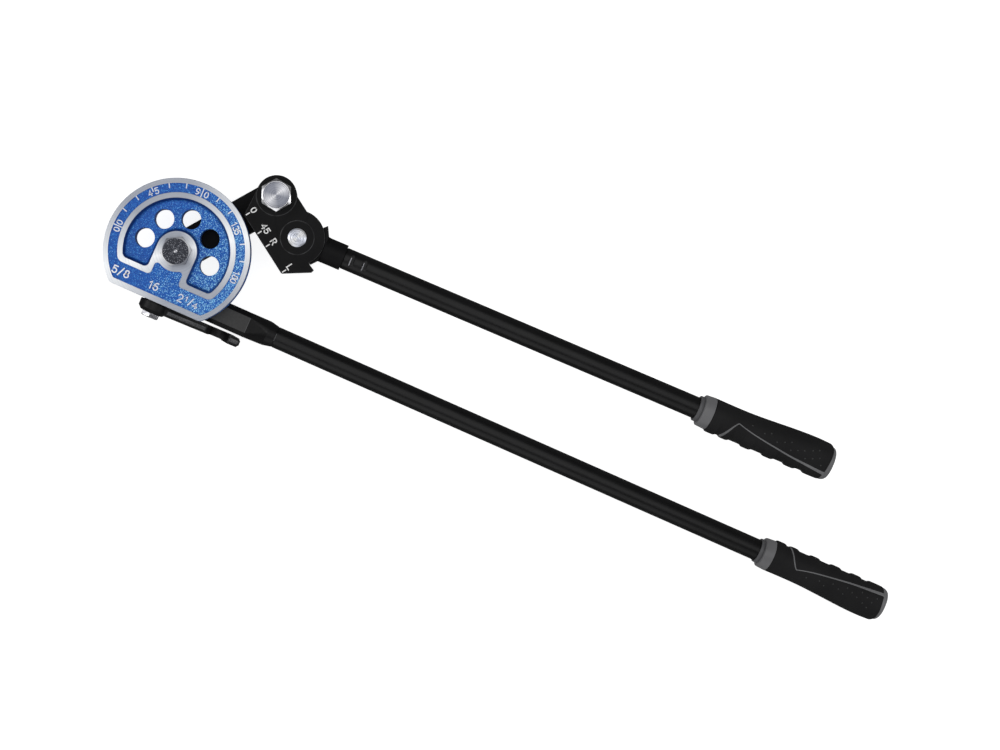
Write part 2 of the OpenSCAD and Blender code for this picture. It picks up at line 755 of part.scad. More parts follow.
module handle_yoke() {
  clear_r = hinge_r + ear_clear;
  color([0.13, 0.13, 0.14])
  on_rivet() difference() {
    union() {
      translate([0, 0, -tongue_t / 2]) {
        cylinder(r = eye_r, h = tongue_t);
        linear_extrude(height = tongue_t) ear_fan();
      }
      translate([0, -neck_d / 2, -tongue_t / 2]) cube([tongue_l, neck_d, tongue_t]);
      difference() {
        union() {
          translate([0, 0, -neck_d / 2 + 0.6]) linear_extrude(height = neck_d - 1.2) ear_fan();
          rod_x(neck_d / 2, neck_x1);
        }
        translate([0, 0, -30]) cylinder(r = clear_r, h = 60);
      }
      translate([neck_x1 - 1, 0, 0]) rod_x(handle_id / 2 - glue_fit, spigot_l + 1);
    }
    translate([0, 0, -30]) cylinder(d = rivet_d + 2 * run_fit, h = 60);
    translate([crimp_a, 0, 0]) crimp_cut(0.6);
    translate([crimp_b, 0, 0]) crimp_cut(0.6);
  }
}

// Cut of one crimp across the top and the bottom of the handle
module crimp_cut(deeper) {
  for (s = [-1, 1]) translate([0, 20, s * (handle_od / 2 + crimp_r - crimp_depth - deeper)])
    rotate([90, 0, 0]) cylinder(r = crimp_r, h = 40);
}

module short_handle_tube() {
  color([0.12, 0.12, 0.13])
  on_rivet() difference() {
    translate([neck_x1, 0, 0]) pipe_x(handle_od, handle_id, short_end - cap_l - neck_x1);
    translate([crimp_a, 0, 0]) crimp_cut(0);
    translate([crimp_b, 0, 0]) crimp_cut(0);
  }
}

form_wheel();
centre_bolt();
centre_nut();
centre_washers();
handle_shank();
shank_screws();
long_handle_tube();
long_grip_sleeve();
long_grip_collar();
long_grip_cap();
latch_hook();
latch_bolt();
latch_spacer();
link_arm();
link_bush();
shoe_bolt();
shoe_nut();
shoe_washers();
forming_shoe();
yoke_rivet();
handle_yoke();
short_handle_tube();
short_grip_sleeve();
short_grip_collar();
short_grip_cap();
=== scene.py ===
"""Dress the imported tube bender: fine shapes, finishes, camera and light, all in the frame of the CAD part."""

import logging
from dataclasses import dataclass, field
from enum import Enum

import bmesh
import bpy
import numpy as np
from mathutils import Matrix, Vector
from mathutils.geometry import delaunay_2d_cdt


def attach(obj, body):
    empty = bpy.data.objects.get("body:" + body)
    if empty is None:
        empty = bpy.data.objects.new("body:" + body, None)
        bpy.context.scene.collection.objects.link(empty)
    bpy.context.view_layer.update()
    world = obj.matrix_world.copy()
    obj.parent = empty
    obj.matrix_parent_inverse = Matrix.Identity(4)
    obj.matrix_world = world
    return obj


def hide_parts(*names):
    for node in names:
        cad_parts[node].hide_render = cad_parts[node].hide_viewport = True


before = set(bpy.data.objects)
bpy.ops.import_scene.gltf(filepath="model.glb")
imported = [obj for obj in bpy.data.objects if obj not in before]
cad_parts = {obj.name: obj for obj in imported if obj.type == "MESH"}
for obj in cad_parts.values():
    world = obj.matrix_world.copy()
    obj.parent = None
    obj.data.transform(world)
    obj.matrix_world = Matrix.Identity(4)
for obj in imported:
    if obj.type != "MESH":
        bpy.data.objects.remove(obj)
LOG = logging.getLogger("tube_bender")
MM = 0.001

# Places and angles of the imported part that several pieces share, in millimetres and degrees
SHOE_BOLT = (52.657, 70.132)
RIVET = (80.098, 46.949)
MID_Z = 44.5
LONG_AXIS = (-30.6, 13.92)
SHORT_ANGLE = 0.8


class Body(str, Enum):
    """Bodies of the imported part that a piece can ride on."""

    FORM = "form"
    LATCH = "latch"
    LINK = "link"
    SHOE = "shoe"
    SHORT = "short_handle"


class Slot(str, Enum):
    """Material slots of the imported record."""

    BLUE = "blue_wheel"
    BLACK = "black_steel"
    DARK = "dark_steel"
    ZINC = "zinc_steel"
    BRONZE = "bush_brass"
    RUBBER = "grip_rubber"
    PLASTIC = "grip_plastic"


# Plane curves and surfaces, in millimetres


def arc(centre: tuple[float, float], radius: float, start: float, end: float, count: int) -> np.ndarray:
    """Points on a circle between two angles, leaving out the last one.

    Args:
        centre: Middle of the circle.
        radius: Radius of the circle.
        start: First angle in degrees.
        end: Angle in degrees at which the next stretch begins.
        count: Number of points.

    Returns:
        Array of count by 2.
    """
    turn = np.radians(np.linspace(start, end, count, endpoint=False))
    return np.stack([centre[0] + radius * np.cos(turn), centre[1] + radius * np.sin(turn)], axis=1)


def line(start: tuple[float, float], end: tuple[float, float], count: int) -> np.ndarray:
    """Points on a straight stretch, leaving out the last one.

    Args:
        start: First point.
        end: Point at which the next stretch begins.
        count: Number of points.

    Returns:
        Array of count by 2.
    """
    share = np.linspace(0.0, 1.0, count, endpoint=False)[:, None]
    return np.asarray(start) * (1.0 - share) + np.asarray(end) * share


def circle(centre: tuple[float, float], radius: float, count: int = 72) -> np.ndarray:
    """A whole circle as a closed loop of count by 2 points."""
    return arc(centre, radius, 0.0, 360.0, count)


def d_loop(radius: float, flat: float, corner: float) -> np.ndarray:
    """Closed loop of a disc with one flat: a big arc, a round corner, the flat and the other corner.

    Args:
        radius: Radius of the big arc.
        flat: Distance from the middle to the flat, towards -Y.
        corner: Radius of the two corners.

    Returns:
        Loop of 392 by 2 points, in the same order for every size, so that loops can be joined.
    """
    cy = -flat + corner
    cx = float(np.sqrt((radius - corner) ** 2 - cy**2))
    low = float(np.degrees(np.arctan2(cy, cx)))
    return np.concatenate(
        [
            arc((0.0, 0.0), radius, low, 180.0 - low, 288),
            arc((-cx, cy), corner, 180.0 - low, 270.0, 12),
            line((-cx, -flat), (cx, -flat), 80),
            arc((cx, cy), corner, 270.0, 360.0 + low, 12),
        ]
    )


def at_level(loop: np.ndarray, level: float | np.ndarray) -> np.ndarray:
    """Lift a plane loop to a level of z, as an array of n by 3."""
    return np.column_stack([loop, np.broadcast_to(level, len(loop))])


def inside(points: np.ndarray, loop: np.ndarray) -> np.ndarray:
    """Tell which points lie inside a loop by counting the edges that a ray towards +X crosses.

    Args:
        points: Array of n by 2.
        loop: Closed loop of m by 2.

    Returns:
        Array of n true or false values.
    """
    a, b = loop, np.roll(loop, -1, axis=0)
    px, py = points[:, :1], points[:, 1:]
    spans = (a[:, 1] > py) != (b[:, 1] > py)
    rise = np.where(b[:, 1] == a[:, 1], 1.0, b[:, 1] - a[:, 1])
    cross = a[:, 0] + (py - a[:, 1]) / rise * (b[:, 0] - a[:, 0])
    return (np.sum(spans & (px < cross), axis=1) % 2).astype(bool)


def smooth_path(points: list[tuple[float, ...]], count: int) -> np.ndarray:
    """Carry a smooth curve through given points, with Hermite pieces whose slopes are the mean of both sides.

    Args:
        points: Points of any dimension.
        count: Number of points on the curve.

    Returns:
        Array of count by the dimension.
    """
    p = np.asarray(points, float)
    step = np.concatenate([[0.0], np.cumsum(np.linalg.norm(np.diff(p, axis=0), axis=1))])
    slope = np.gradient(p, step, axis=0)
    t = np.linspace(0.0, step[-1], count)
    k = np.clip(np.searchsorted(step, t, side="right") - 1, 0, len(p) - 2)
    h = (step[k + 1] - step[k])[:, None]
    s = (t - step[k])[:, None] / h
    return (
        (2 * s**3 - 3 * s**2 + 1) * p[k]
        + (s**3 - 2 * s**2 + s) * h * slope[k]
        + (3 * s**2 - 2 * s**3) * p[k + 1]
        + (s**3 - s**2) * h * slope[k + 1]
    )


def round_edges(profile: list[tuple[float, float]], radius: float, steps: int = 4) -> np.ndarray:
    """Round the inner corners of an open profile with quadratic curves.

    Args:
        profile: Corner points of the profile.
        radius: Distance from a corner at which its curve begins, at most half of the shorter side.
        steps: Points on each curve.

    Returns:
        Array of points of the rounded profile.
    """
    p = np.asarray(profile, float)
    side = np.linalg.norm(np.diff(p, axis=0), axis=1)
    reach = np.minimum(radius, 0.49 * np.minimum(side[:-1], side[1:]))[:, None]
    back = p[1:-1] + (p[:-2] - p[1:-1]) / side[:-1, None] * reach
    ahead = p[1:-1] + (p[2:] - p[1:-1]) / side[1:, None] * reach
    s = np.linspace(0.0, 1.0, steps)[None, :, None]
    curve = (1 - s) ** 2 * back[:, None] + 2 * s * (1 - s) * p[1:-1, None] + s**2 * ahead[:, None]
    return np.concatenate([p[:1], curve.reshape(-1, 2), p[-1:]])


def turned(profile: np.ndarray, count: int = 96) -> np.ndarray:
    """Turn a profile round an axis: every point (along, radius) goes round a full circle.

    Args:
        profile: Array of m by 2, distance along the axis and radius.
        count: Number of steps round the axis.

    Returns:
        Grid of count by m by 3 with the axis along z.
    """
    turn = np.linspace(0.0, 2 * np.pi, count, endpoint=False)[:, None]
    along = np.broadcast_to(profile[:, 0], (count, len(profile)))
    return np.stack([profile[:, 1] * np.cos(turn), profile[:, 1] * np.sin(turn), along], axis=2)


def hexagon_radius(turn: np.ndarray, across: float, corner: float) -> np.ndarray:
    """Distance from the middle to the side of a hexagon: half the width over the cosine of the angle to it.

    Args:
        turn: Angles in radians.
        across: Size across the flats.
        corner: Angle of one corner in radians.

    Returns:
        Radius at every angle.
    """
    return across / 2 / np.cos((turn - corner) % (np.pi / 3) - np.pi / 6)


class Shell:
    """Surface patches of one piece, gathered in millimetres and joined into one mesh."""

    def __init__(self) -> None:
        """Start with no patches."""
        self.points: list[np.ndarray] = []
        self.faces: list[list[int]] = []
        self.finish: list[np.ndarray] = []
        self.count = 0

    def patch(self, points: np.ndarray, faces: np.ndarray, finish: int | np.ndarray = 0) -> None:
        """Add points and faces.

        Args:
            points: Array of n by 3.
            faces: Array of m by 3 or 4 point numbers.
            finish: Number of the finish, one for all faces or one for each.
        """
        self.points.append(points)
        self.faces.extend((faces + self.count).tolist())
        self.finish.append(np.broadcast_to(finish, len(faces)).astype(np.int32))
        self.count += len(points)

    def grid(
        self,
        points: np.ndarray,
        close: bool = True,
        across: bool = False,
        finish: int | list[int] | np.ndarray = 0,
    ) -> None:
        """Add a grid of points as four-sided faces.

        Args:
            points: Array of rows by columns by 3.
            close: Join the last row to the first.
            across: Join the last column to the first.
            finish: Number of the finish: one for all, one for each column of faces or one for each face.
        """
        rows, cols = points.shape[:2]
        i, j = np.meshgrid(
            np.arange(rows if close else rows - 1), np.arange(cols if across else cols - 1), indexing="ij"
        )
        i2, j2 = (i + 1) % rows, (j + 1) % cols
        quads = np.stack([i * cols + j, i2 * cols + j, i2 * cols + j2, i * cols + j2], axis=2)
        marks = np.broadcast_to(np.asarray(finish), i.shape).reshape(-1)
        self.patch(points.reshape(-1, 3), quads.reshape(-1, 4), marks)

    def rings(self, rings: list[np.ndarray], finish: int | list[int] = 0) -> None:
        """Join closed rings of equal length, in order, into a band."""
        self.grid(np.stack(rings, axis=1), finish=finish)

    def region(self, outer: np.ndarray, holes: list[np.ndarray], level: float, finish: int = 0) -> None:
        """Fill a flat region between an outer loop and its holes with triangles.

        Args:
            outer: Outer loop, n by 2.
            holes: Loops of the holes.
            level: Level of z.
            finish: Number of the finish.
        """
        points, faces = plane_fill(outer, holes)
        self.patch(at_level(points, level), faces, finish)

    def build(
        self,
        name: str,
        finishes: list[bpy.types.Material],
        body: Body,
        slot: Slot,
        replaced: tuple[str, ...] = (),
        sharp: float = 32.0,
    ) -> bpy.types.Object:
        """Make the mesh object, with doubles merged, faces turned outwards and soft shading up to an angle.

        Args:
            name: Name of the piece.
            finishes: Materials, in the order of the finish numbers.
            body: Body that the piece rides on.
            slot: Material slot of the record; not used.
            replaced: CAD nodes that the piece stands for.
            sharp: Angle in degrees above which an edge stays sharp.

        Returns:
            The object.
        """
        mesh = bpy.data.meshes.new(name)
        mesh.from_pydata((np.concatenate(self.points) * MM).tolist(), [], self.faces)
        mesh.polygons.foreach_set("material_index", np.concatenate(self.finish))
        work = bmesh.new()
        work.from_mesh(mesh)
        bmesh.ops.remove_doubles(work, verts=work.verts, dist=4e-6)
        bmesh.ops.dissolve_degenerate(work, edges=work.edges, dist=1e-6)
        bmesh.ops.recalc_face_normals(work, faces=work.faces)
        work.to_mesh(mesh)
        work.free()
        mesh.polygons.foreach_set("use_smooth", np.ones(len(mesh.polygons), bool))
        mesh.set_sharp_from_angle(angle=float(np.radians(sharp)))
        for finish in finishes:
            mesh.materials.append(finish)
        piece = bpy.data.objects.new(name, mesh)
        bpy.context.scene.collection.objects.link(piece)
        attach(piece, body.value)
        if replaced:
            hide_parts(*replaced)
        LOG.info("piece %s: %d faces on %s", name, len(mesh.polygons), body.value)
        return piece


def plane_fill(outer: np.ndarray, holes: list[np.ndarray]) -> tuple[np.ndarray, np.ndarray]:
    """Fill a plane region with triangles that keep its loops as edges.

    Args:
        outer: Outer loop, n by 2.
        holes: Loops of the holes.

    Returns:
        Points, and triangles whose middle lies inside the outer loop and outside every hole.
    """
    loops = [outer, *holes]
    first = np.cumsum([0] + [len(loop) for loop in loops])
    edges = [
        np.stack([np.arange(n, m), np.roll(np.arange(n, m), -1)], axis=1)
        for n, m in zip(first[:-1], first[1:])
    ]
    given = [Vector(p) for p in np.concatenate(loops).tolist()]
    made = delaunay_2d_cdt(given, np.concatenate(edges).tolist(), [], 1, 1e-5)
    points = np.array([tuple(p) for p in made[0]])
    faces = np.array(made[2])
    middle = points[faces].mean(axis=1)
    keep = inside(middle, outer)
    for hole in holes:
        keep &= ~inside(middle, hole)
    return points, faces[keep]


# Finishes


class NodeSheet:
    """Material whose node tree is filled step by step, with its pattern on object coordinates."""

    def __init__(self, name: str) -> None:
        """Make the material with its shader, output and coordinates."""
        self.material = bpy.data.materials.new(name)
        self.material.use_nodes = True
        self.tree = self.material.node_tree
        self.tree.nodes.clear()
        self.shader = self.add("ShaderNodeBsdfPrincipled")
        output = self.add("ShaderNodeOutputMaterial")
        self.join(self.shader, "BSDF", output, "Surface")
        self.place = self.add("ShaderNodeTexCoord")

    def add(self, kind: str, values: dict | None = None, **settings: object) -> bpy.types.Node:
        """Add a node.

        Args:
            kind: Blender's name of the node.
            values: Values of its input sockets.
            settings: Values of its own settings.

        Returns:
            The node.
        """
        node = self.tree.nodes.new(kind)
        for key, value in settings.items():
            setattr(node, key, value)
        for key, value in (values or {}).items():
            node.inputs[key].default_value = value
        return node

    def join(self, source: bpy.types.Node, out: str, target: bpy.types.Node, into: str | int) -> None:
        """Link an output socket to an input socket."""
        self.tree.links.new(source.outputs[out], target.inputs[into])

    def noise(self, scale: float, detail: float = 3.0) -> bpy.types.Node:
        """Add a noise pattern.

        Args:
            scale: Number of grains in a metre.
            detail: Number of finer layers.

        Returns:
            The noise node.
        """
        noise = self.add("ShaderNodeTexNoise", {"Scale": scale, "Detail": detail})
        self.join(self.place, "Object", noise, "Vector")
        return noise

    def ramp(
        self, source: bpy.types.Node, out: str, stops: list[tuple[float, tuple[float, ...] | np.ndarray]]
    ) -> bpy.types.Node:
        """Turn a pattern into colours.

        Args:
            source: Node of the pattern.
            out: Its output socket.
            stops: Places and colours, each colour of three values.

        Returns:
            The colour ramp node.
        """
        ramp = self.add("ShaderNodeValToRGB")
        bar = ramp.color_ramp
        while len(bar.elements) < len(stops):
            bar.elements.new(0.5)
        for element, (place, colour) in zip(bar.elements, stops):
            element.position = place
            element.color = (*colour, 1.0)
        self.join(source, out, ramp, "Fac")
        return ramp

    def spread(self, source: bpy.types.Node, out: str, low: float, high: float, into: str) -> None:
        """Map a pattern onto a range of one shader value.

        Args:
            source: Node of the pattern.
            out: Its output socket.
            low: Value at a pattern value of 0.3.
            high: Value at a pattern value of 0.7.
            into: Input socket of the shader.
        """
        limits = {"From Min": 0.3, "From Max": 0.7, "To Min": low, "To Max": high}
        span = self.add("ShaderNodeMapRange", limits)
        self.join(source, out, span, "Value")
        self.join(span, "Result", self.shader, into)

    def bump(self, source: bpy.types.Node, out: str, strength: float, depth: float) -> None:
        """Raise the surface by a pattern.

        Args:
            source: Node of the pattern.
            out: Its output socket.
            strength: Strength of the bump.
            depth: Height of the pattern in metres.
        """
        bump = self.add("ShaderNodeBump", {"Strength": strength, "Distance": depth})
        self.join(source, out, bump, "Height")
        self.join(bump, "Normal", self.shader, "Normal")

    def set(self, **values: float) -> None:
        """Set plain values on the shader's own sockets, with underscores for the spaces in their names."""
        for key, value in values.items():
            self.shader.inputs[key.replace("_", " ")].default_value = value


@dataclass(frozen=True)
class FlakePaint:
    """Blue metallic paint whose flakes are random cells of deep, mid and pale blue."""

    name: str = "blue_flake_paint"
    deep: tuple[float, float, float] = (0.006, 0.045, 0.27)
    mid: tuple[float, float, float] = (0.011, 0.098, 0.43)
    pale: tuple[float, float, float] = (0.045, 0.27, 0.69)
    glint: tuple[float, float, float] = (0.33, 0.7, 0.95)
    flakes: float = 2300.0
    # Share of painted highlight, as extra pale flakes towards +X; a quarter as much painted shade, as extra
    # deep flakes towards -X.
    shift: float = 0.16

    def material(self) -> bpy.types.Material:
        """Make the paint's material, with painted light and shade along one direction across the wheel: more
        pale flakes towards +X, more deep ones towards -X.
        """
        sheet = NodeSheet(self.name)
        cells = sheet.add("ShaderNodeTexVoronoi", {"Scale": self.flakes})
        sheet.join(sheet.place, "Object", cells, "Vector")
        split = sheet.add("ShaderNodeSeparateColor")
        sheet.join(cells, "Color", split, "Color")
        # Painted highlight and shade: the cell value is raised towards +X and lowered towards -X across the
        # wheel.
        along = sheet.add("ShaderNodeVectorMath", operation="DOT_PRODUCT")
        along.inputs[1].default_value = (1.0, -0.1, 0.0)
        sheet.join(sheet.place, "Object", along, 0)
        reach = {"From Min": -0.02, "From Max": 0.042, "To Min": -self.shift / 4, "To Max": self.shift}
        side = sheet.add("ShaderNodeMapRange", reach)
        sheet.join(along, "Value", side, "Value")
        level = sheet.add("ShaderNodeMath", operation="ADD")
        sheet.join(split, "Red", level, 0)
        sheet.join(side, "Result", level, 1)
        stops = [(0.0, self.deep), (0.4, self.mid), (0.74, self.mid), (0.92, self.pale), (1.0, self.glint)]
        sheet.join(sheet.ramp(level, "Value", stops), "Color", sheet.shader, "Base Color")
        sheet.spread(split, "Green", 0.3, 0.5, "Roughness")
        sheet.bump(split, "Blue", 0.3, 0.00006)
        sheet.set(Metallic=0.3, Specular_IOR_Level=0.3)
        return sheet.material


@dataclass(frozen=True)
class BareMetal:
    """Machined or plated metal: its two tones in soft blotches, under a fine grain."""

    name: str
    light: tuple[float, float, float]
    dark: tuple[float, float, float]
    smooth: float = 0.28
    rough: float = 0.45
    metallic: float = 1.0
    grain: float = 900.0
    depth: float = 0.00003

    def material(self) -> bpy.types.Material:
        """Make the metal's material."""
        sheet = NodeSheet(self.name)
        blotch = sheet.noise(self.grain / 4, 4.0)
        fine = sheet.noise(self.grain)
        tint = sheet.ramp(blotch, "Fac", [(0.3, self.dark), (0.7, self.light)])
        sheet.join(tint, "Color", sheet.shader, "Base Color")
        sheet.spread(fine, "Fac", self.smooth, self.rough, "Roughness")
        sheet.bump(fine, "Fac", 0.3, self.depth)
        sheet.set(Metallic=self.metallic)
        return sheet.material


@dataclass(frozen=True)
class TurnedMetal:
    """Lathe-turned metal: noise of the distance from an axis tints and raises it, with painted sheen: two
    bright wedges and painted shade between them.
    """

    name: str
    centre: tuple[float, float]
    light: tuple[float, float, float]
    dark: tuple[float, float, float]
    rings: float = 1500.0
    depth: float = 0.0001
    metallic: float = 0.9
    sheen: float = 40.0
    shade: float = 0.4
    # Tint of the painted shade between the bright wedges.
    cool: tuple[float, float, float] = (0.94, 0.98, 1.1)

    def painted_sheen_wedges(self, sheet: NodeSheet, plan: bpy.types.Node) -> bpy.types.Node:
        """Painted sheen by the angle round the axis: full colour towards the sheen's angle and opposite,
        painted shade between.

        Args:
            sheet: Sheet of the material.
            plan: Node that gives the place seen along the axis, from the axis.

        Returns:
            The colour ramp node.
        """
        spin = sheet.add("ShaderNodeMapping", {"Rotation": (0.0, 0.0, -np.radians(self.sheen))})
        sheet.join(plan, "Vector", spin, "Vector")
        turn = sheet.add("ShaderNodeTexGradient", gradient_type="RADIAL")
        sheet.join(spin, "Vector", turn, "Vector")
        # Painted highlight in two wedges, painted shade between them.
        full = np.ones(3)
        low = self.shade * np.array(self.cool)
        half = (low + full) / 2
        bars = [(0.0, full), (0.07, half), (0.18, low), (0.34, low), (0.43, half), (0.5, full)]
        bars += [(0.57, half), (0.68, low), (0.84, low), (0.93, half), (1.0, full)]
        return sheet.ramp(turn, "Fac", bars)

    def material(self) -> bpy.types.Material:
        """Make the metal's material."""
        sheet = NodeSheet(self.name)
        back = (-self.centre[0] * MM, -self.centre[1] * MM, 0.0)
        plan = sheet.add("ShaderNodeMapping", {"Location": back, "Scale": (1.0, 1.0, 0.0)})
        sheet.join(sheet.place, "Object", plan, "Vector")
        away = sheet.add("ShaderNodeVectorMath", operation="LENGTH")
        sheet.join(plan, "Vector", away, 0)
        wave = sheet.add("ShaderNodeTexNoise", {"Scale": self.rings, "Detail": 3.0}, noise_dimensions="1D")
        sheet.join(away, "Value", wave, "W")
        tint = sheet.ramp(wave, "Fac", [(0.34, self.dark), (0.5, self.light), (0.7, self.light)])
        shaded = sheet.add("ShaderNodeVectorMath", operation="MULTIPLY")
        sheet.join(tint, "Color", shaded, 0)
        sheet.join(self.painted_sheen_wedges(sheet, plan), "Color", shaded, 1)
        sheet.join(shaded, "Vector", sheet.shader, "Base Color")
        sheet.spread(sheet.noise(1200.0), "Fac", 0.36, 0.48, "Roughness")
        sheet.bump(wave, "Fac", 0.5, self.depth)
        sheet.set(Metallic=self.metallic)
        return sheet.material


@dataclass(frozen=True)
class SpeckledSteel:
    """Dark oxidised steel whose random cells are mostly dark with a few light specks."""

    name: str = "speckled_dark_steel"
    dark: tuple[float, float, float] = (0.025, 0.028, 0.038)
    mid: tuple[float, float, float] = (0.07, 0.075, 0.095)
    light: tuple[float, float, float] = (0.4, 0.41, 0.46)
    grain: float = 2300.0

    def material(self) -> bpy.types.Material:
        """Make the steel's material."""
        sheet = NodeSheet(self.name)
        cells = sheet.add("ShaderNodeTexVoronoi", {"Scale": self.grain})
        sheet.join(sheet.place, "Object", cells, "Vector")
        split = sheet.add("ShaderNodeSeparateColor")
        sheet.join(cells, "Color", split, "Color")
        stops = [(0.0, self.dark), (0.55, self.dark), (0.86, self.mid), (1.0, self.light)]
        sheet.join(sheet.ramp(split, "Red", stops), "Color", sheet.shader, "Base Color")
        sheet.spread(split, "Green", 0.4, 0.65, "Roughness")
        sheet.bump(split, "Blue", 0.4, 0.00008)
        sheet.set(Metallic=0.2, Specular_IOR_Level=0.25)
        return sheet.material


@dataclass(frozen=True)
class Coating:
    """Black coating, rubber or plastic: a near-even colour with a fine skin of its own roughness."""

    name: str
    dark: tuple[float, float, float]
    light: tuple[float, float, float]
    smooth: float
    rough: float
    gloss: float
    grain: float
    depth: float
    wear: float = 40.0

    def material(self) -> bpy.types.Material:
        """Make the coating's material."""
        sheet = NodeSheet(self.name)
        wear = sheet.noise(self.wear, 4.0)
        skin = sheet.noise(self.grain, 3.0)
        tint = sheet.ramp(wear, "Fac", [(0.35, self.dark), (0.7, self.light)])
        sheet.join(tint, "Color", sheet.shader, "Base Color")
        sheet.spread(skin, "Fac", self.smooth, self.rough, "Roughness")
        sheet.bump(skin, "Fac", 0.35, self.depth)
        sheet.set(Specular_IOR_Level=self.gloss)
        return sheet.material


@dataclass(frozen=True)
class FloorPaper:
    """White paper of the studio floor, a little bright in itself so that it stays pale everywhere."""

    name: str = "studio_paper"
    colour: tuple[float, float, float] = (0.46, 0.46, 0.46)
    glow: float = 0.85

    def material(self) -> bpy.types.Material:
        """Make the paper's material."""
        sheet = NodeSheet(self.name)
        tint = sheet.ramp(sheet.noise(300.0), "Fac", [(0.3, self.colour), (0.7, (0.5, 0.5, 0.5))])
        sheet.join(tint, "Color", sheet.shader, "Base Color")
        sheet.set(Roughness=0.95, Specular_IOR_Level=0.0, Emission_Strength=self.glow)
        sheet.shader.inputs["Emission Color"].default_value = (1.0, 1.0, 1.0, 1.0)
        return sheet.material


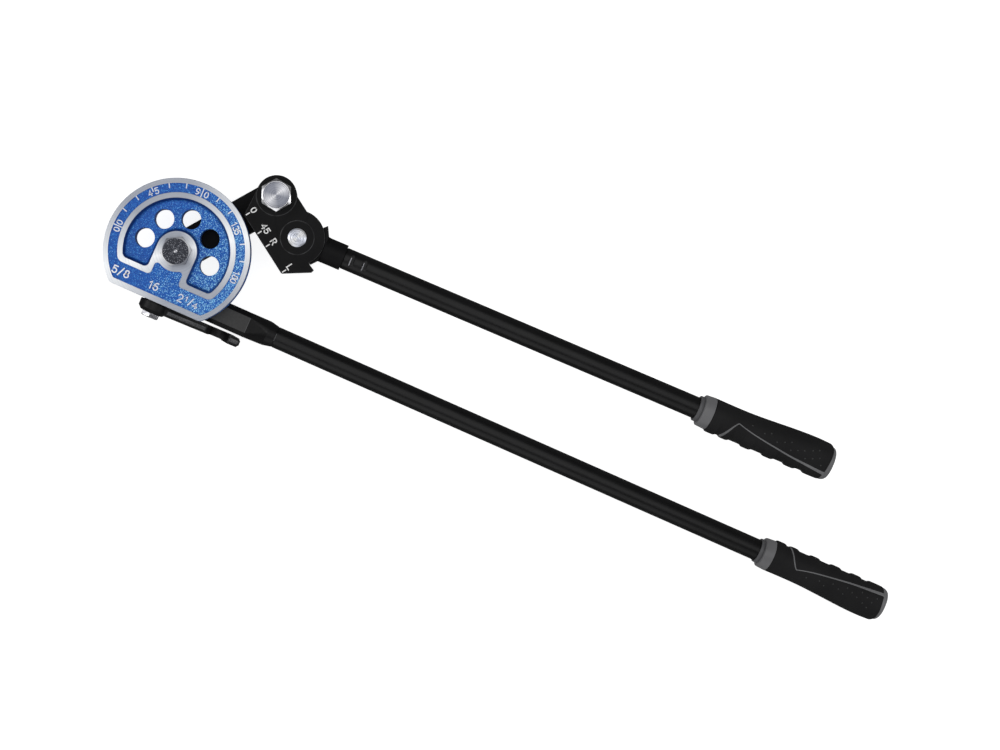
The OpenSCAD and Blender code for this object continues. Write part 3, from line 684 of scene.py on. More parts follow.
class Finishes:
    """All finishes of the tool, each made once."""

    def __init__(self) -> None:
        """Make the materials."""
        self.blue = FlakePaint().material()
        # Darker blue of the same paint, as painted shade in the groove, on the flange walls and on the pocket
        # wall.
        self.groove = FlakePaint(
            "blue_paint_painted_shade",
            deep=(0.005, 0.022, 0.12),
            mid=(0.009, 0.045, 0.21),
            pale=(0.02, 0.09, 0.34),
            glint=(0.06, 0.2, 0.5),
        ).material()
        # The turned finishes below carry painted sheen: bright wedges and painted shade round their axis.
        self.bare = TurnedMetal(
            "machined_aluminium",
            centre=(0.0, 0.0),
            light=(0.96, 0.98, 1.0),
            dark=(0.85, 0.88, 0.92),
            rings=900.0,
            depth=0.00002,
            metallic=0.5,
            sheen=36.0,
            shade=0.4,
        ).material()
        self.figure = TurnedMetal(
            "bare_raised_figures",
            centre=(0.0, 0.0),
            light=(1.0, 1.0, 1.0),
            dark=(0.95, 0.95, 0.97),
            rings=900.0,
            depth=0.00002,
            metallic=0.2,
            sheen=36.0,
            shade=0.78,
        ).material()
        self.zinc = BareMetal(
            "zinc_plated_steel", (0.86, 0.86, 0.88), (0.72, 0.72, 0.75), 0.2, 0.36, 1.0, 500.0, 0.00001
        ).material()
        self.latch_bolt = BareMetal(
            "dull_plated_steel", (0.62, 0.62, 0.65), (0.34, 0.34, 0.37), 0.24, 0.4, 1.0, 900.0, 0.00001
        ).material()
        # Lighter steel for the painted highlight on the crimps' walls.
        self.crimp_glint = BareMetal(
            "painted_crimp_glint", (0.36, 0.36, 0.38), (0.2, 0.2, 0.22), 0.3, 0.45, 1.0, 900.0, 0.00001
        ).material()
        self.shoe_bolt = TurnedMetal(
            "turned_shoe_bolt",
            centre=SHOE_BOLT,
            light=(0.72, 0.72, 0.75),
            dark=(0.4, 0.4, 0.43),
            rings=1500.0,
            depth=0.0002,
            metallic=0.9,
            sheen=62.0,
            shade=0.36,
        ).material()
        self.rivet = TurnedMetal(
            "turned_rivet",
            centre=RIVET,
            light=(0.95, 0.95, 0.95),
            dark=(0.36, 0.36, 0.38),
            rings=1100.0,
            depth=0.0002,
            metallic=0.9,
            sheen=62.0,
            shade=0.8,
        ).material()
        self.speckled = SpeckledSteel().material()
        self.edge = BareMetal(
            "bright_worn_edge", (0.85, 0.85, 0.87), (0.55, 0.55, 0.57), 0.25, 0.45, 0.8, 700.0
        ).material()
        self.corner = TurnedMetal(
            "bright_bolt_corners",
            centre=(0.0, 0.0),
            light=(0.95, 0.95, 0.97),
            dark=(0.7, 0.7, 0.72),
            rings=700.0,
            depth=0.0001,
            metallic=0.5,
            sheen=55.0,
            shade=0.3,
        ).material()
        # Lighter grey for the painted highlight strips on the latch's upper edge.
        self.latch = Coating(
            "latch_painted_highlight",
            dark=(0.03, 0.03, 0.032),
            light=(0.12, 0.12, 0.126),
            smooth=0.3,
            rough=0.46,
            gloss=0.45,
            grain=1500.0,
            depth=0.0001,
            wear=1100.0,
        ).material()
        self.worn = Coating(
            "worn_black_edge",
            dark=(0.005, 0.005, 0.0055),
            light=(0.06, 0.06, 0.064),
            smooth=0.4,
            rough=0.55,
            gloss=0.3,
            grain=900.0,
            depth=0.00003,
            wear=160.0,
        ).material()
        self.bronze = BareMetal(
            "bearing_bronze", (0.62, 0.45, 0.2), (0.5, 0.34, 0.14), 0.3, 0.5, 1.0, 800.0
        ).material()
        self.black = Coating(
            "black_powder_coat",
            dark=(0.0045, 0.0045, 0.005),
            light=(0.0075, 0.0075, 0.008),
            smooth=0.46,
            rough=0.62,
            gloss=0.1,
            grain=1300.0,
            depth=0.00005,
        ).material()
        self.tube = Coating(
            "black_tube_enamel",
            dark=(0.005, 0.005, 0.0053),
            light=(0.0075, 0.0075, 0.008),
            smooth=0.26,
            rough=0.38,
            gloss=0.2,
            grain=900.0,
            depth=0.00002,
        ).material()
        self.forged = Coating(
            "black_forged_steel",
            dark=(0.004, 0.004, 0.0045),
            light=(0.007, 0.007, 0.0075),
            smooth=0.34,
            rough=0.48,
            gloss=0.2,
            grain=700.0,
            depth=0.00006,
        ).material()
        self.ground = Coating(
            "ground_black_face",
            dark=(0.005, 0.005, 0.0055),
            light=(0.011, 0.011, 0.0115),
            smooth=0.3,
            rough=0.42,
            gloss=0.45,
            grain=900.0,
            depth=0.00008,
            wear=600.0,
        ).material()
        self.rubber = Coating(
            "moulded_black_rubber",
            dark=(0.0075, 0.0075, 0.008),
            light=(0.011, 0.011, 0.0115),
            smooth=0.62,
            rough=0.8,
            gloss=0.18,
            grain=2200.0,
            depth=0.00007,
        ).material()
        self.nub = Coating(
            "rubber_nubs", (0.02, 0.02, 0.021), (0.03, 0.03, 0.031), 0.5, 0.7, 0.4, 2200.0, 0.00005
        ).material()
        self.plastic = Coating(
            "grey_moulded_plastic",
            dark=(0.115, 0.115, 0.12),
            light=(0.15, 0.15, 0.155),
            smooth=0.42,
            rough=0.58,
            gloss=0.4,
            grain=1600.0,
            depth=0.00005,
        ).material()
        # Dark grey of the collar's front ring, and of the painted highlight lines on the shank.
        self.ring = Coating(
            "dark_grey_ring_and_painted_highlight", (0.075, 0.075, 0.08), (0.1, 0.1, 0.105), 0.45, 0.6, 0.4, 1600.0, 0.00005
        ).material()
        self.paint_white = Coating(
            "white_mark_paint", (0.8, 0.8, 0.8), (0.88, 0.88, 0.88), 0.5, 0.7, 0.3, 1500.0, 0.00004
        ).material()
        self.paper = FloorPaper().material()


def dress_node(node: str, finish: bpy.types.Material) -> None:
    """Give a CAD node that keeps its shape its finish.

    Args:
        node: Name of the node.
        finish: Material of all its slots.
    """
    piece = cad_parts[node]
    if not piece.material_slots:
        piece.data.materials.append(finish)
    for holder in piece.material_slots:
        holder.material = finish
    LOG.info("node %s keeps its shape, with %s", node, finish.name)


# Figures and strokes


class Lettering:
    """Plain figures as centre lines in a box of one by one, and strokes with a raised round-edged section."""

    @staticmethod
    def bow(
        cx: float, cy: float, rx: float, ry: float, start: float, end: float, count: int = 15
    ) -> np.ndarray:
        """Stretch of an ellipse: middle plus the two half-axes times cosine and sine of the angle."""
        turn = np.radians(np.linspace(start, end, count))
        return np.stack([cx + rx * np.cos(turn), cy + ry * np.sin(turn)], axis=1)

    @classmethod
    def strokes(cls, sign: str) -> list[np.ndarray]:
        """Centre lines of one figure.

        Args:
            sign: One of the figures, the slash, or the marks R and L.

        Returns:
            List of lines of n by 2 points.
        """
        bow = cls.bow
        table = {
            "0": [bow(0.5, 0.5, 0.5, 0.5, 90.0, 450.0, 25)],
            "1": [np.array([[0.2, 0.8], [0.55, 1.0], [0.55, 0.0]])],
            "2": [
                np.concatenate([bow(0.5, 0.7, 0.48, 0.3, 165.0, -35.0), np.array([[0.02, 0.0], [1.0, 0.0]])]),
            ],
            "3": [
                np.concatenate(
                    [bow(0.48, 0.75, 0.45, 0.25, 150.0, -80.0), bow(0.48, 0.26, 0.5, 0.26, 80.0, -150.0)]
                ),
            ],
            "4": [
                np.array([[0.72, 0.0], [0.72, 1.0], [0.0, 0.3], [1.0, 0.3]]),
            ],
            "5": [
                np.concatenate(
                    [
                        np.array([[0.92, 1.0], [0.14, 1.0], [0.06, 0.52]]),
                        bow(0.46, 0.32, 0.5, 0.32, 130.0, -145.0),
                    ]
                ),
            ],
            "6": [
                np.concatenate(
                    [bow(0.72, 0.42, 0.7, 0.58, 80.0, 180.0), bow(0.5, 0.3, 0.48, 0.3, 165.0, 525.0, 25)]
                ),
            ],
            "8": [
                bow(0.5, 0.77, 0.38, 0.23, 270.0, 630.0, 21),
                bow(0.5, 0.27, 0.5, 0.27, 90.0, 450.0, 21),
            ],
            "9": [
                np.concatenate(
                    [bow(0.28, 0.58, 0.7, 0.58, 260.0, 360.0), bow(0.5, 0.7, 0.48, 0.3, -15.0, 345.0, 25)]
                ),
            ],
            "/": [np.array([[0.1, -0.08], [0.9, 1.08]])],
            "R": [
                np.concatenate(
                    [np.array([[0.0, 0.0], [0.0, 1.0], [0.2, 1.0]]), bow(0.5, 0.74, 0.42, 0.26, 90.0, -90.0)]
                ),
                np.array([[0.45, 0.48], [1.0, 0.0]]),
                np.array([[0.05, 0.48], [0.5, 0.48]]),
            ],
            "L": [np.array([[0.0, 1.0], [0.0, 0.0], [0.85, 0.0]])],
        }
        return table[sign]

    @staticmethod
    def raise_stroke(
        shell: Shell, path: np.ndarray, width: float, base: float, top: float, finish: int = 0
    ) -> None:
        """Carry a raised section along a plane line: flat top, sloped sides, drawn to a point at both ends.

        Args:
            shell: Shell that takes the stroke.
            path: Centre line, n by 2, in the frame's X and Y.
            width: Width of the stroke.
            base: Level of its foot.
            top: Level of its top.
            finish: Number of the finish.
        """
        ahead = np.diff(path, axis=0)
        ahead /= np.linalg.norm(ahead, axis=1)[:, None]
        before = np.concatenate([ahead[:1], ahead])
        after = np.concatenate([ahead, ahead[-1:]])
        mean = before + after
        mean /= np.maximum(np.linalg.norm(mean, axis=1), 1e-6)[:, None]
        side = np.stack([-mean[:, 1], mean[:, 0]], axis=1)
        mitre = np.clip(1.0 / np.maximum(np.sum(mean * after, axis=1), 0.3), 1.0, 1.5)[:, None]
        path = path.copy()
        path[0] -= ahead[0] * width * 0.4
        path[-1] += ahead[-1] * width * 0.4
        reach = np.array([-0.5, -0.36, 0.36, 0.5]) * width
        level = np.array([base, top, top, base])
        plane = path[:, None, :] + side[:, None, :] * mitre[:, None, :] * reach[None, :, None]
        rows = np.concatenate([plane, np.broadcast_to(level, plane.shape[:2])[:, :, None]], axis=2)
        tips = np.stack([path[0] - ahead[0] * width * 0.15, path[-1] + ahead[-1] * width * 0.15])
        ends = np.column_stack([tips, [base, base]])
        first = np.broadcast_to(ends[0], (1, 4, 3))
        last = np.broadcast_to(ends[1], (1, 4, 3))
        shell.grid(np.concatenate([first, rows, last]), close=False, across=True, finish=finish)

    @classmethod
    def write(
        cls,
        shell: Shell,
        text: str,
        middle: tuple[float, float],
        turn: float,
        size: tuple[float, float],
        gap: float,
        stroke: float,
        levels: tuple[float, float],
        finish: int = 0,
    ) -> None:
        """Write figures round a middle point.

        Args:
            shell: Shell that takes the strokes.
            text: Figures to write.
            middle: Middle of the text.
            turn: Angle of the reading direction in degrees.
            size: Width and height of a figure.
            gap: Gap between figures.
            stroke: Width of a stroke.
            levels: Levels of the strokes' foot and top.
            finish: Number of the finish.
        """
        c, s = np.cos(np.radians(turn)), np.sin(np.radians(turn))
        spin = np.array([[c, s], [-s, c]])
        whole = len(text) * size[0] + (len(text) - 1) * gap
        for number, sign in enumerate(text):
            start = np.array([-whole / 2 + number * (size[0] + gap), -size[1] / 2])
            for path in cls.strokes(sign):
                local = path * np.asarray(size) + start
                cls.raise_stroke(shell, local @ spin + np.asarray(middle), stroke, *levels, finish)


# Sub-assemblies


@dataclass
class FormWheel:
    """Cast form wheel with its tube groove, scale band, horseshoe rib, pocket, holes and raised figures."""

    rim_r: float = 56.4
    flat_y: float = 42.0
    corner_r: float = 5.0
    back_z: float = 32.0
    top_z: float = 57.0
    mid_z: float = MID_Z
    bend_r: float = 57.15
    groove_r: float = 8.0975
    rim_land: float = 3.9
    flat_land: float = 4.4
    band_depth: float = 0.8
    rib_r: float = 45.4
    rib_w: float = 4.2
    rib_y: float = 24.2
    boss_r: float = 15.7
    rib_corner: float = 6.0
    pocket_depth: float = 5.5
    pocket_draft: float = 1.7
    floor_fillet: float = 1.5
    edge: float = 0.2
    hole_r: float = 7.6
    hole_ring_r: float = 27.0
    relief: float = 4.0
    relief_r: float = 44.4
    relief_y: float = 18.6

    def rib_loop(self, out: float) -> np.ndarray:
        """Outer outline of the horseshoe: big arc, lower corner, foot, leg, under the boss, then mirrored.

        Args:
            out: Offset away from the rib's top.

        Returns:
            Closed loop, in step with pocket_loop.
        """
        big, foot = self.rib_r + out, self.rib_y + out
        leg, boss = self.boss_r - self.rib_w - out, self.boss_r + out
        corner, toe, neck = self.rib_corner + out, 3.2 + out, 2.6 - out
        cx = float(np.sqrt((big - corner) ** 2 - (foot - corner) ** 2))
        low = 180.0 + float(np.degrees(np.arctan2(foot - corner, cx)))
        ny = -float(np.sqrt((boss + neck) ** 2 - (leg - neck) ** 2))
        to_axis = float(np.degrees(np.arctan2(-ny, leg - neck)))
        half = np.concatenate(
            [
                arc((0.0, 0.0), big, 90.0, low, 120),
                arc((-cx, -foot + corner), corner, low, 270.0, 12),
                line((-cx, -foot), (-leg - toe, -foot), 24),
                arc((-leg - toe, -foot + toe), toe, 270.0, 360.0, 12),
                line((-leg, -foot + toe), (-leg, ny), 8),
                arc((-leg + neck, ny), neck, 180.0, to_axis, 12),
                arc((0.0, 0.0), boss, 180.0 + to_axis, 270.0, 16),
                np.array([[0.0, -boss]]),
            ]
        )
        return self.mirrored(half)

    def pocket_loop(self, into: float) -> np.ndarray:
        """Outline of the pocket: big arc, lower corner, foot, leg, and over the boss, then mirrored.

        Args:
            into: Offset into the pocket.

        Returns:
            Closed loop, in step with rib_loop.
        """
        big, foot = self.rib_r - self.rib_w - into, self.rib_y - self.rib_w - into
        boss = self.boss_r + into
        corner, toe = max(4.6 - into, 0.5), max(3.6 - into, 0.5)
        cx = float(np.sqrt((big - corner) ** 2 - (foot - corner) ** 2))
        low = 180.0 + float(np.degrees(np.arctan2(foot - corner, cx)))
        half = np.concatenate(
            [
                arc((0.0, 0.0), big, 90.0, low, 120),
                arc((-cx, -foot + corner), corner, low, 270.0, 12),
                line((-cx, -foot), (-boss - toe, -foot), 24),
                arc((-boss - toe, -foot + toe), toe, 270.0, 360.0, 12),
                line((-boss, -foot + toe), (-boss, 0.0), 8),
                arc((0.0, 0.0), boss, 180.0, 90.0, 28),
                np.array([[0.0, boss]]),
            ]
        )
        return self.mirrored(half)

    @staticmethod
    def mirrored(half: np.ndarray) -> np.ndarray:
        """Close a left half with its mirror image, keeping the two points on the axis once."""
        return np.concatenate([half, half[-2:0:-1] * np.array([-1.0, 1.0])])

    def hole_loops(self, radius: float) -> list[np.ndarray]:
        """Loops of the five lightening holes, every 45 degrees over the upper half."""
        turns = np.radians([0.0, 45.0, 90.0, 135.0, 180.0])
        return [circle((self.hole_ring_r * np.cos(a), self.hole_ring_r * np.sin(a)), radius) for a in turns]

    def land_loop(self, share: float, inset: float) -> np.ndarray:
        """Loop on the rim's land: the outer D at share 0, the inner edge at share 1, moved in by an inset."""
        return d_loop(
            self.rim_r - self.rim_land * share - inset,
            self.flat_y - self.flat_land * share - inset,
            self.corner_r - 2.2 * share - inset,
        )

    def front(self, shell: Shell) -> None:
        """Add the face: rim land, painted band, horseshoe rib, pocket walls with fillets, floor and holes."""
        e, top, band = self.edge, self.top_z, self.top_z - self.band_depth
        floor = self.top_z - self.pocket_depth
        high = self.mid_z + self.groove_edge()
        turn = np.radians([0.0, 30.0, 60.0, 90.0])
        rim = [at_level(self.land_loop(0.0, 0.0), high)]
        rim += [
            at_level(self.land_loop(0.0, 2 * e * (1 - np.cos(a))), top - 2 * e * (1 - np.sin(a)))
            for a in turn
        ]
        rim += [at_level(self.land_loop(1.0, -e * np.cos(a)), top - e * (1 - np.sin(a))) for a in turn[::-1]]
        rim += [at_level(self.land_loop(1.0, 0.1), band)]
        # The flange's outer side wall, the first column, takes the darker paint as painted shade.
        shell.rings(rim, finish=[2] + [1] * 7 + [0])
        shell.region(self.land_loop(1.0, 0.1), [self.rib_loop(0.1)], band, finish=0)
        rib = [at_level(self.rib_loop(0.1), band)]
        rib += [at_level(self.rib_loop(-e * (1 - np.cos(a))), top - e * (1 - np.sin(a))) for a in turn]
        rib += [
            at_level(self.pocket_loop(-e * (1 - np.cos(a))), top - e * (1 - np.sin(a)))
            for a in turn[::-1]
        ]
        f = self.floor_fillet
        foot = self.pocket_draft * 0.8
        lean = np.radians([20.0, 40.0, 60.0, 80.0, 90.0])
        rib += [
            at_level(self.pocket_loop(foot + f * (1 - np.cos(a))), floor + f * (1 - np.sin(a))) for a in lean
        ]
        # The pocket's drafted wall, the ninth column, takes the darker paint as painted shade.
        shell.rings(rib, finish=[0] + [1] * 7 + [2] + [0] * 4)
        holes = self.hole_loops(self.hole_r + e)
        shell.region(self.pocket_loop(foot + f), holes, floor, finish=0)
        back = self.back_z + self.relief
        for rings in zip(*[self.hole_loops(self.hole_r + e * (1 - np.sin(a))) for a in turn]):
            wall = [at_level(loop, floor - e * (1 - np.cos(a))) for loop, a in zip(rings, turn)]
            shell.rings(wall + [at_level(rings[-1], back)], finish=0)

    def groove_edge(self) -> float:
        """Half the width of the groove at the rim."""
        return float(np.sqrt(self.groove_r**2 - (self.bend_r - self.rim_r) ** 2))

    def rim(self, shell: Shell) -> None:
        """Add the groove, a circle carried round the axis up to the flat's plane, and the flat itself."""
        half = np.arccos((self.bend_r - self.rim_r) / self.groove_r)
        lean = np.linspace(-half, half, 33)[None, :]
        reach = self.bend_r - self.groove_r * np.cos(lean)
        limit = np.arcsin(self.flat_y / reach)
        share = np.linspace(0.0, 1.0, 289)[:, None]
        turn = -limit + (np.pi + 2 * limit) * share
        level = np.broadcast_to(self.mid_z + self.groove_r * np.sin(lean), turn.shape)
        groove = np.stack([reach * np.cos(turn), reach * np.sin(turn), level], axis=2)
        # Painted shade: the groove takes the darker paint.
        shell.grid(groove, close=False, finish=2)
        end = float(np.sqrt((self.rim_r - self.corner_r) ** 2 - (self.flat_y - self.corner_r) ** 2))
        tip = float(np.sqrt((self.bend_r - self.groove_r) ** 2 - self.flat_y**2))
        x = tip + (end - tip) * np.linspace(0.0, 1.0, 16) ** 2
        mouth = np.sqrt(np.maximum(self.groove_r**2 - (np.hypot(x, self.flat_y) - self.bend_r) ** 2, 0.0))
        edge = self.groove_edge()
        right = np.concatenate(
            [[[end, edge]], np.stack([x, mouth], 1)[::-1], np.stack([x, -mouth], 1)[1:], [[end, -edge]]]
        )
        loop = np.concatenate([right, right[::-1] * np.array([-1.0, 1.0])])
        points, faces = plane_fill(loop, [])
        wall = np.column_stack([points[:, 0], np.full(len(points), -self.flat_y), self.mid_z + points[:, 1]])
        # The wall in the flat's plane takes the darker paint too, as painted shade.
        shell.patch(wall, faces, 2)

    def back(self, shell: Shell) -> None:
        """Add the back: rear flange, back face, the relief with its floor, and the ring round the bolt."""
        e, low, deep = self.edge, self.back_z, self.back_z + self.relief
        turn = np.radians([0.0, 30.0, 60.0, 90.0])
        rings = [at_level(self.land_loop(0.0, 0.0), self.mid_z - self.groove_edge())]
        rings += [
            at_level(self.land_loop(0.0, 2 * e * (1 - np.cos(a))), low + 2 * e * (1 - np.sin(a)))
            for a in turn
        ]
        # Painted shade: the rear flange takes the darker paint.
        shell.rings(rings, finish=2)
        rim = d_loop(self.relief_r, self.relief_y, 4.0)
        inner = d_loop(self.relief_r - 1.0, self.relief_y - 1.0, 3.0)
        ring, root = circle((0.0, 0.0), self.boss_r + 2.0), circle((0.0, 0.0), self.boss_r + 2.6)
        shell.region(self.land_loop(0.0, 2 * e), [rim], low, finish=0)
        shell.rings([at_level(rim, low), at_level(inner, deep)], finish=0)
        shell.region(inner, [root, *self.hole_loops(self.hole_r)], deep, finish=0)
        shell.rings([at_level(root, deep), at_level(ring, low)], finish=0)
        shell.region(ring, [], low, finish=1)

    def scale(self, shell: Shell) -> None:
        """Add the raised scale: ticks every 15 degrees except at 135 and 180, full lines at 0 and 90, and the
        figures.
        """
        band = self.top_z - self.band_depth
        levels = (band - 0.05, self.top_z - 0.1)
        outer, inner = self.rim_r - self.rim_land + 0.3, self.rib_r - 0.3
        for mark in range(0, 181, 15):
            turn = np.radians(180.0 - mark)
            low = inner if mark in (0, 90) else outer - 3.6
            ray = np.array([np.cos(turn), np.sin(turn)])
            if mark not in (135, 180):
                Lettering.raise_stroke(shell, np.stack([ray * outer, ray * low]), 1.0, *levels)
        arcs = [("00", 0, 3.1), ("45", 45, 2.7), ("90", 90, 4.4), ("135", 135, 0.6), ("180", 180, 0.5)]
        for text, mark, gap in arcs:
            self.on_arc(shell, text, 180.0 - mark, gap, levels)
        for text, x, y, box, gap in [
            ("5/8", -32.7, -31.2, (3.5, 5.4), 1.4),
            ("16", -5.6, -31.0, (3.4, 5.6), 0.8),
            ("2", 17.0, -31.4, (3.5, 5.6), 0.0),
            ("1", 21.9, -30.0, (1.8, 3.1), 0.0),
            ("/", 25.5, -31.1, (2.7, 4.8), 0.0),
            ("4", 29.6, -32.3, (3.4, 4.0), 0.0),
        ]:
            Lettering.write(shell, text, (x, y), 0.0, box, gap, 1.12, levels)

    def on_arc(self, shell: Shell, text: str, at: float, gap: float, levels: tuple[float, float]) -> None:
        """Write figures on the scale band, each turned so that its top points outwards.

        Args:
            shell: Shell that takes the strokes.
            text: Figures to write.
            at: Angle of the text's middle in the frame, in degrees.
            gap: Gap between two figures along the arc.
            levels: Levels of the strokes' foot and top.
        """
        radius, size = 48.8, (2.7, 4.4)
        step = np.degrees((size[0] + gap) / radius)
        for number, sign in enumerate(text):
            turn = at - (number - (len(text) - 1) / 2) * step
            middle = (radius * np.cos(np.radians(turn)), radius * np.sin(np.radians(turn)))
            Lettering.write(shell, sign, middle, turn - 90.0, size, 0.0, 0.95, levels)

    def build(self, finishes: Finishes) -> None:
        """Make the casting and its figures.

        Args:
            finishes: The tool's finishes.
        """
        casting = Shell()
        self.front(casting)
        self.rim(casting)
        self.back(casting)
        skin = [finishes.blue, finishes.bare, finishes.groove]
        wheel = casting.build("wheel_casting", skin, Body.FORM, Slot.BLUE, ("form_wheel",), 40.0)
        weighted = wheel.modifiers.new("flat_lands", "WEIGHTED_NORMAL")
        weighted.keep_sharp = True
        figures = Shell()
        self.scale(figures)
        figures.build("wheel_figures", [finishes.figure], Body.FORM, Slot.BLUE)


@dataclass
class PivotBolt:
    """Hexagon bolt standing on z = 0 with a chamfered head, a threaded end and its nut's thread in sight."""

    name: str
    node: str
    place: tuple[float, float]
    seat: float
    across: float
    corner: float
    body: Body
    slot: Slot
    head: float = 8.8
    shank_d: float = 14.0
    flat_share: float = 0.475
    dimple: float = 0.0

    def build(self, top: bpy.types.Material, side: bpy.types.Material) -> None:
        """Make the bolt: head rows run from the middle of its top to the hexagon, cut by the chamfer's cone.

        Args:
            top: Finish of the head's top.
            side: Finish of its chamfer, sides and shank, and of a painted glint in the dimple of the top where
                there is one.
        """
        shell = Shell()
        count = 144
        corner = np.radians(self.corner)
        turn = (corner + np.linspace(0.0, 2 * np.pi, count, endpoint=False))[:, None]
        hexagon = hexagon_radius(turn + 1e-9, self.across, float(corner))
        disc = self.flat_share * self.across
        z1 = self.seat + self.head
        share = np.array([0.0, 0.06, 0.13, 0.2, 0.5, 0.965, 1.0])[None, :]
        dip = self.dimple * np.exp(-((share / 0.1) ** 2))
        radius = [disc * np.broadcast_to(share, (count, share.shape[1]))]
        level = [np.broadcast_to(z1 - dip - 0.12 * (share == 1.0), (count, share.shape[1]))]
        step = np.linspace(0.1, 1.0, 5)[None, :]
        outward = disc + (hexagon - disc) * step
        radius.append(outward)
        level.append(z1 - 0.12 - (outward - disc) * np.tan(np.radians(30.0)))
        radius.append(np.broadcast_to(hexagon, (count, 1)))
        level.append(np.full((count, 1), self.seat))
        thread_z = np.linspace(self.seat, 1.2, int((self.seat - 1.2) / 0.45) + 1)
        ridge = np.where(thread_z < 9.0, 0.45 * (1 - np.abs((thread_z / 1.75 % 1.0) * 2 - 1)), 0.0)
        shank_r = self.shank_d / 2
        shaft = np.concatenate([[shank_r], shank_r - ridge[1:], [shank_r - 1.0, 0.0]])
        radius.append(np.broadcast_to(shaft, (count, len(shaft))))
        level.append(np.broadcast_to(np.concatenate([thread_z, [0.0, 0.0]]), (count, len(shaft))))
        r, z = np.concatenate(radius, axis=1), np.concatenate(level, axis=1)
        grid = np.stack([self.place[0] + r * np.cos(turn), self.place[1] + r * np.sin(turn), z], axis=2)
        # Painted glint: the first two rings of the top, in its dimple, take the side's bright metal.
        tip = 2 if self.dimple else 0
        marks = [1] * tip + [0] * (share.shape[1] - 2 - tip) + [1] * (grid.shape[1] + 1 - share.shape[1])
        shell.grid(grid, finish=marks)
        shell.build(self.name, [top, side], self.body, self.slot, (self.node,), 25.0)


@dataclass
class HandleTube:
    """Black handle tube along a line, with crimps across its top and bottom where it has them."""

    name: str
    node: str
    start: tuple[float, float, float]
    angle: float
    length: float
    body: Body
    crimps: tuple[float, ...] = ()
    radius: float = 8.5
    crimp_r: float = 2.4
    crimp_depth: float = 1.2

    def build(self, finish: bpy.types.Material, worn: bpy.types.Material) -> None:
        """Make the tube: a circle carried along the line, whose height is held under the crimping roll.

        Args:
            finish: Material of the tube.
            worn: Material of the painted highlight on one wall of each crimp, over the tube's upper half.
        """
        near = np.concatenate([np.linspace(c - 2.6, c + 2.6, 27) for c in self.crimps]) if self.crimps else []
        x = np.unique(np.concatenate([np.linspace(0.5, self.length - 0.5, 48), near]))
        count = 96
        turn = np.linspace(0.0, 2 * np.pi, count, endpoint=False)[:, None]
        across = np.broadcast_to(self.radius * np.cos(turn), (count, len(x)))
        height = np.broadcast_to(self.radius * np.sin(turn), (count, len(x)))
        cap = np.full(len(x), self.radius + 1.0)
        for crimp in self.crimps:
            off = np.abs(x - crimp)
            sag = np.sqrt(np.maximum(self.crimp_r**2 - off**2, 0.0))
            roll = self.radius + self.crimp_r - self.crimp_depth - sag
            cap = np.where(off < self.crimp_r, np.minimum(cap, roll), cap)
        height = np.clip(height, -cap, cap)
        ends = [np.zeros((count, 1)), (self.radius - 0.6) * np.cos(turn), (self.radius - 0.6) * np.sin(turn)]
        along = np.concatenate([np.zeros(2), x, np.full(2, self.length)])
        lateral = np.concatenate([ends[0], ends[1], across, ends[1], ends[0]], axis=1)
        upright = np.concatenate([ends[0], ends[2], height, ends[2], ends[0]], axis=1)
        c, s = np.cos(np.radians(self.angle)), np.sin(np.radians(self.angle))
        grid = np.stack(
            [
                self.start[0] + along * c - lateral * s,
                self.start[1] + along * s + lateral * c,
                self.start[2] + upright,
            ],
            axis=2,
        )
        # Painted highlight: the wall of each crimp towards the tube's start, on the upper half only, takes the
        # lighter material.
        glint_faces = np.zeros(grid.shape[:2], bool)
        for crimp in self.crimps:
            wall = (along > crimp - 1.3) & (along < crimp - 0.75)
            glint_faces |= wall & (upright > 0.0) & (lateral > -3.8) & (lateral < 2.4)
        shell = Shell()
        shell.grid(grid, finish=glint_faces[:, :-1].astype(int))
        shell.build(self.name, [finish, worn], self.body, Slot.BLACK, (self.node,))


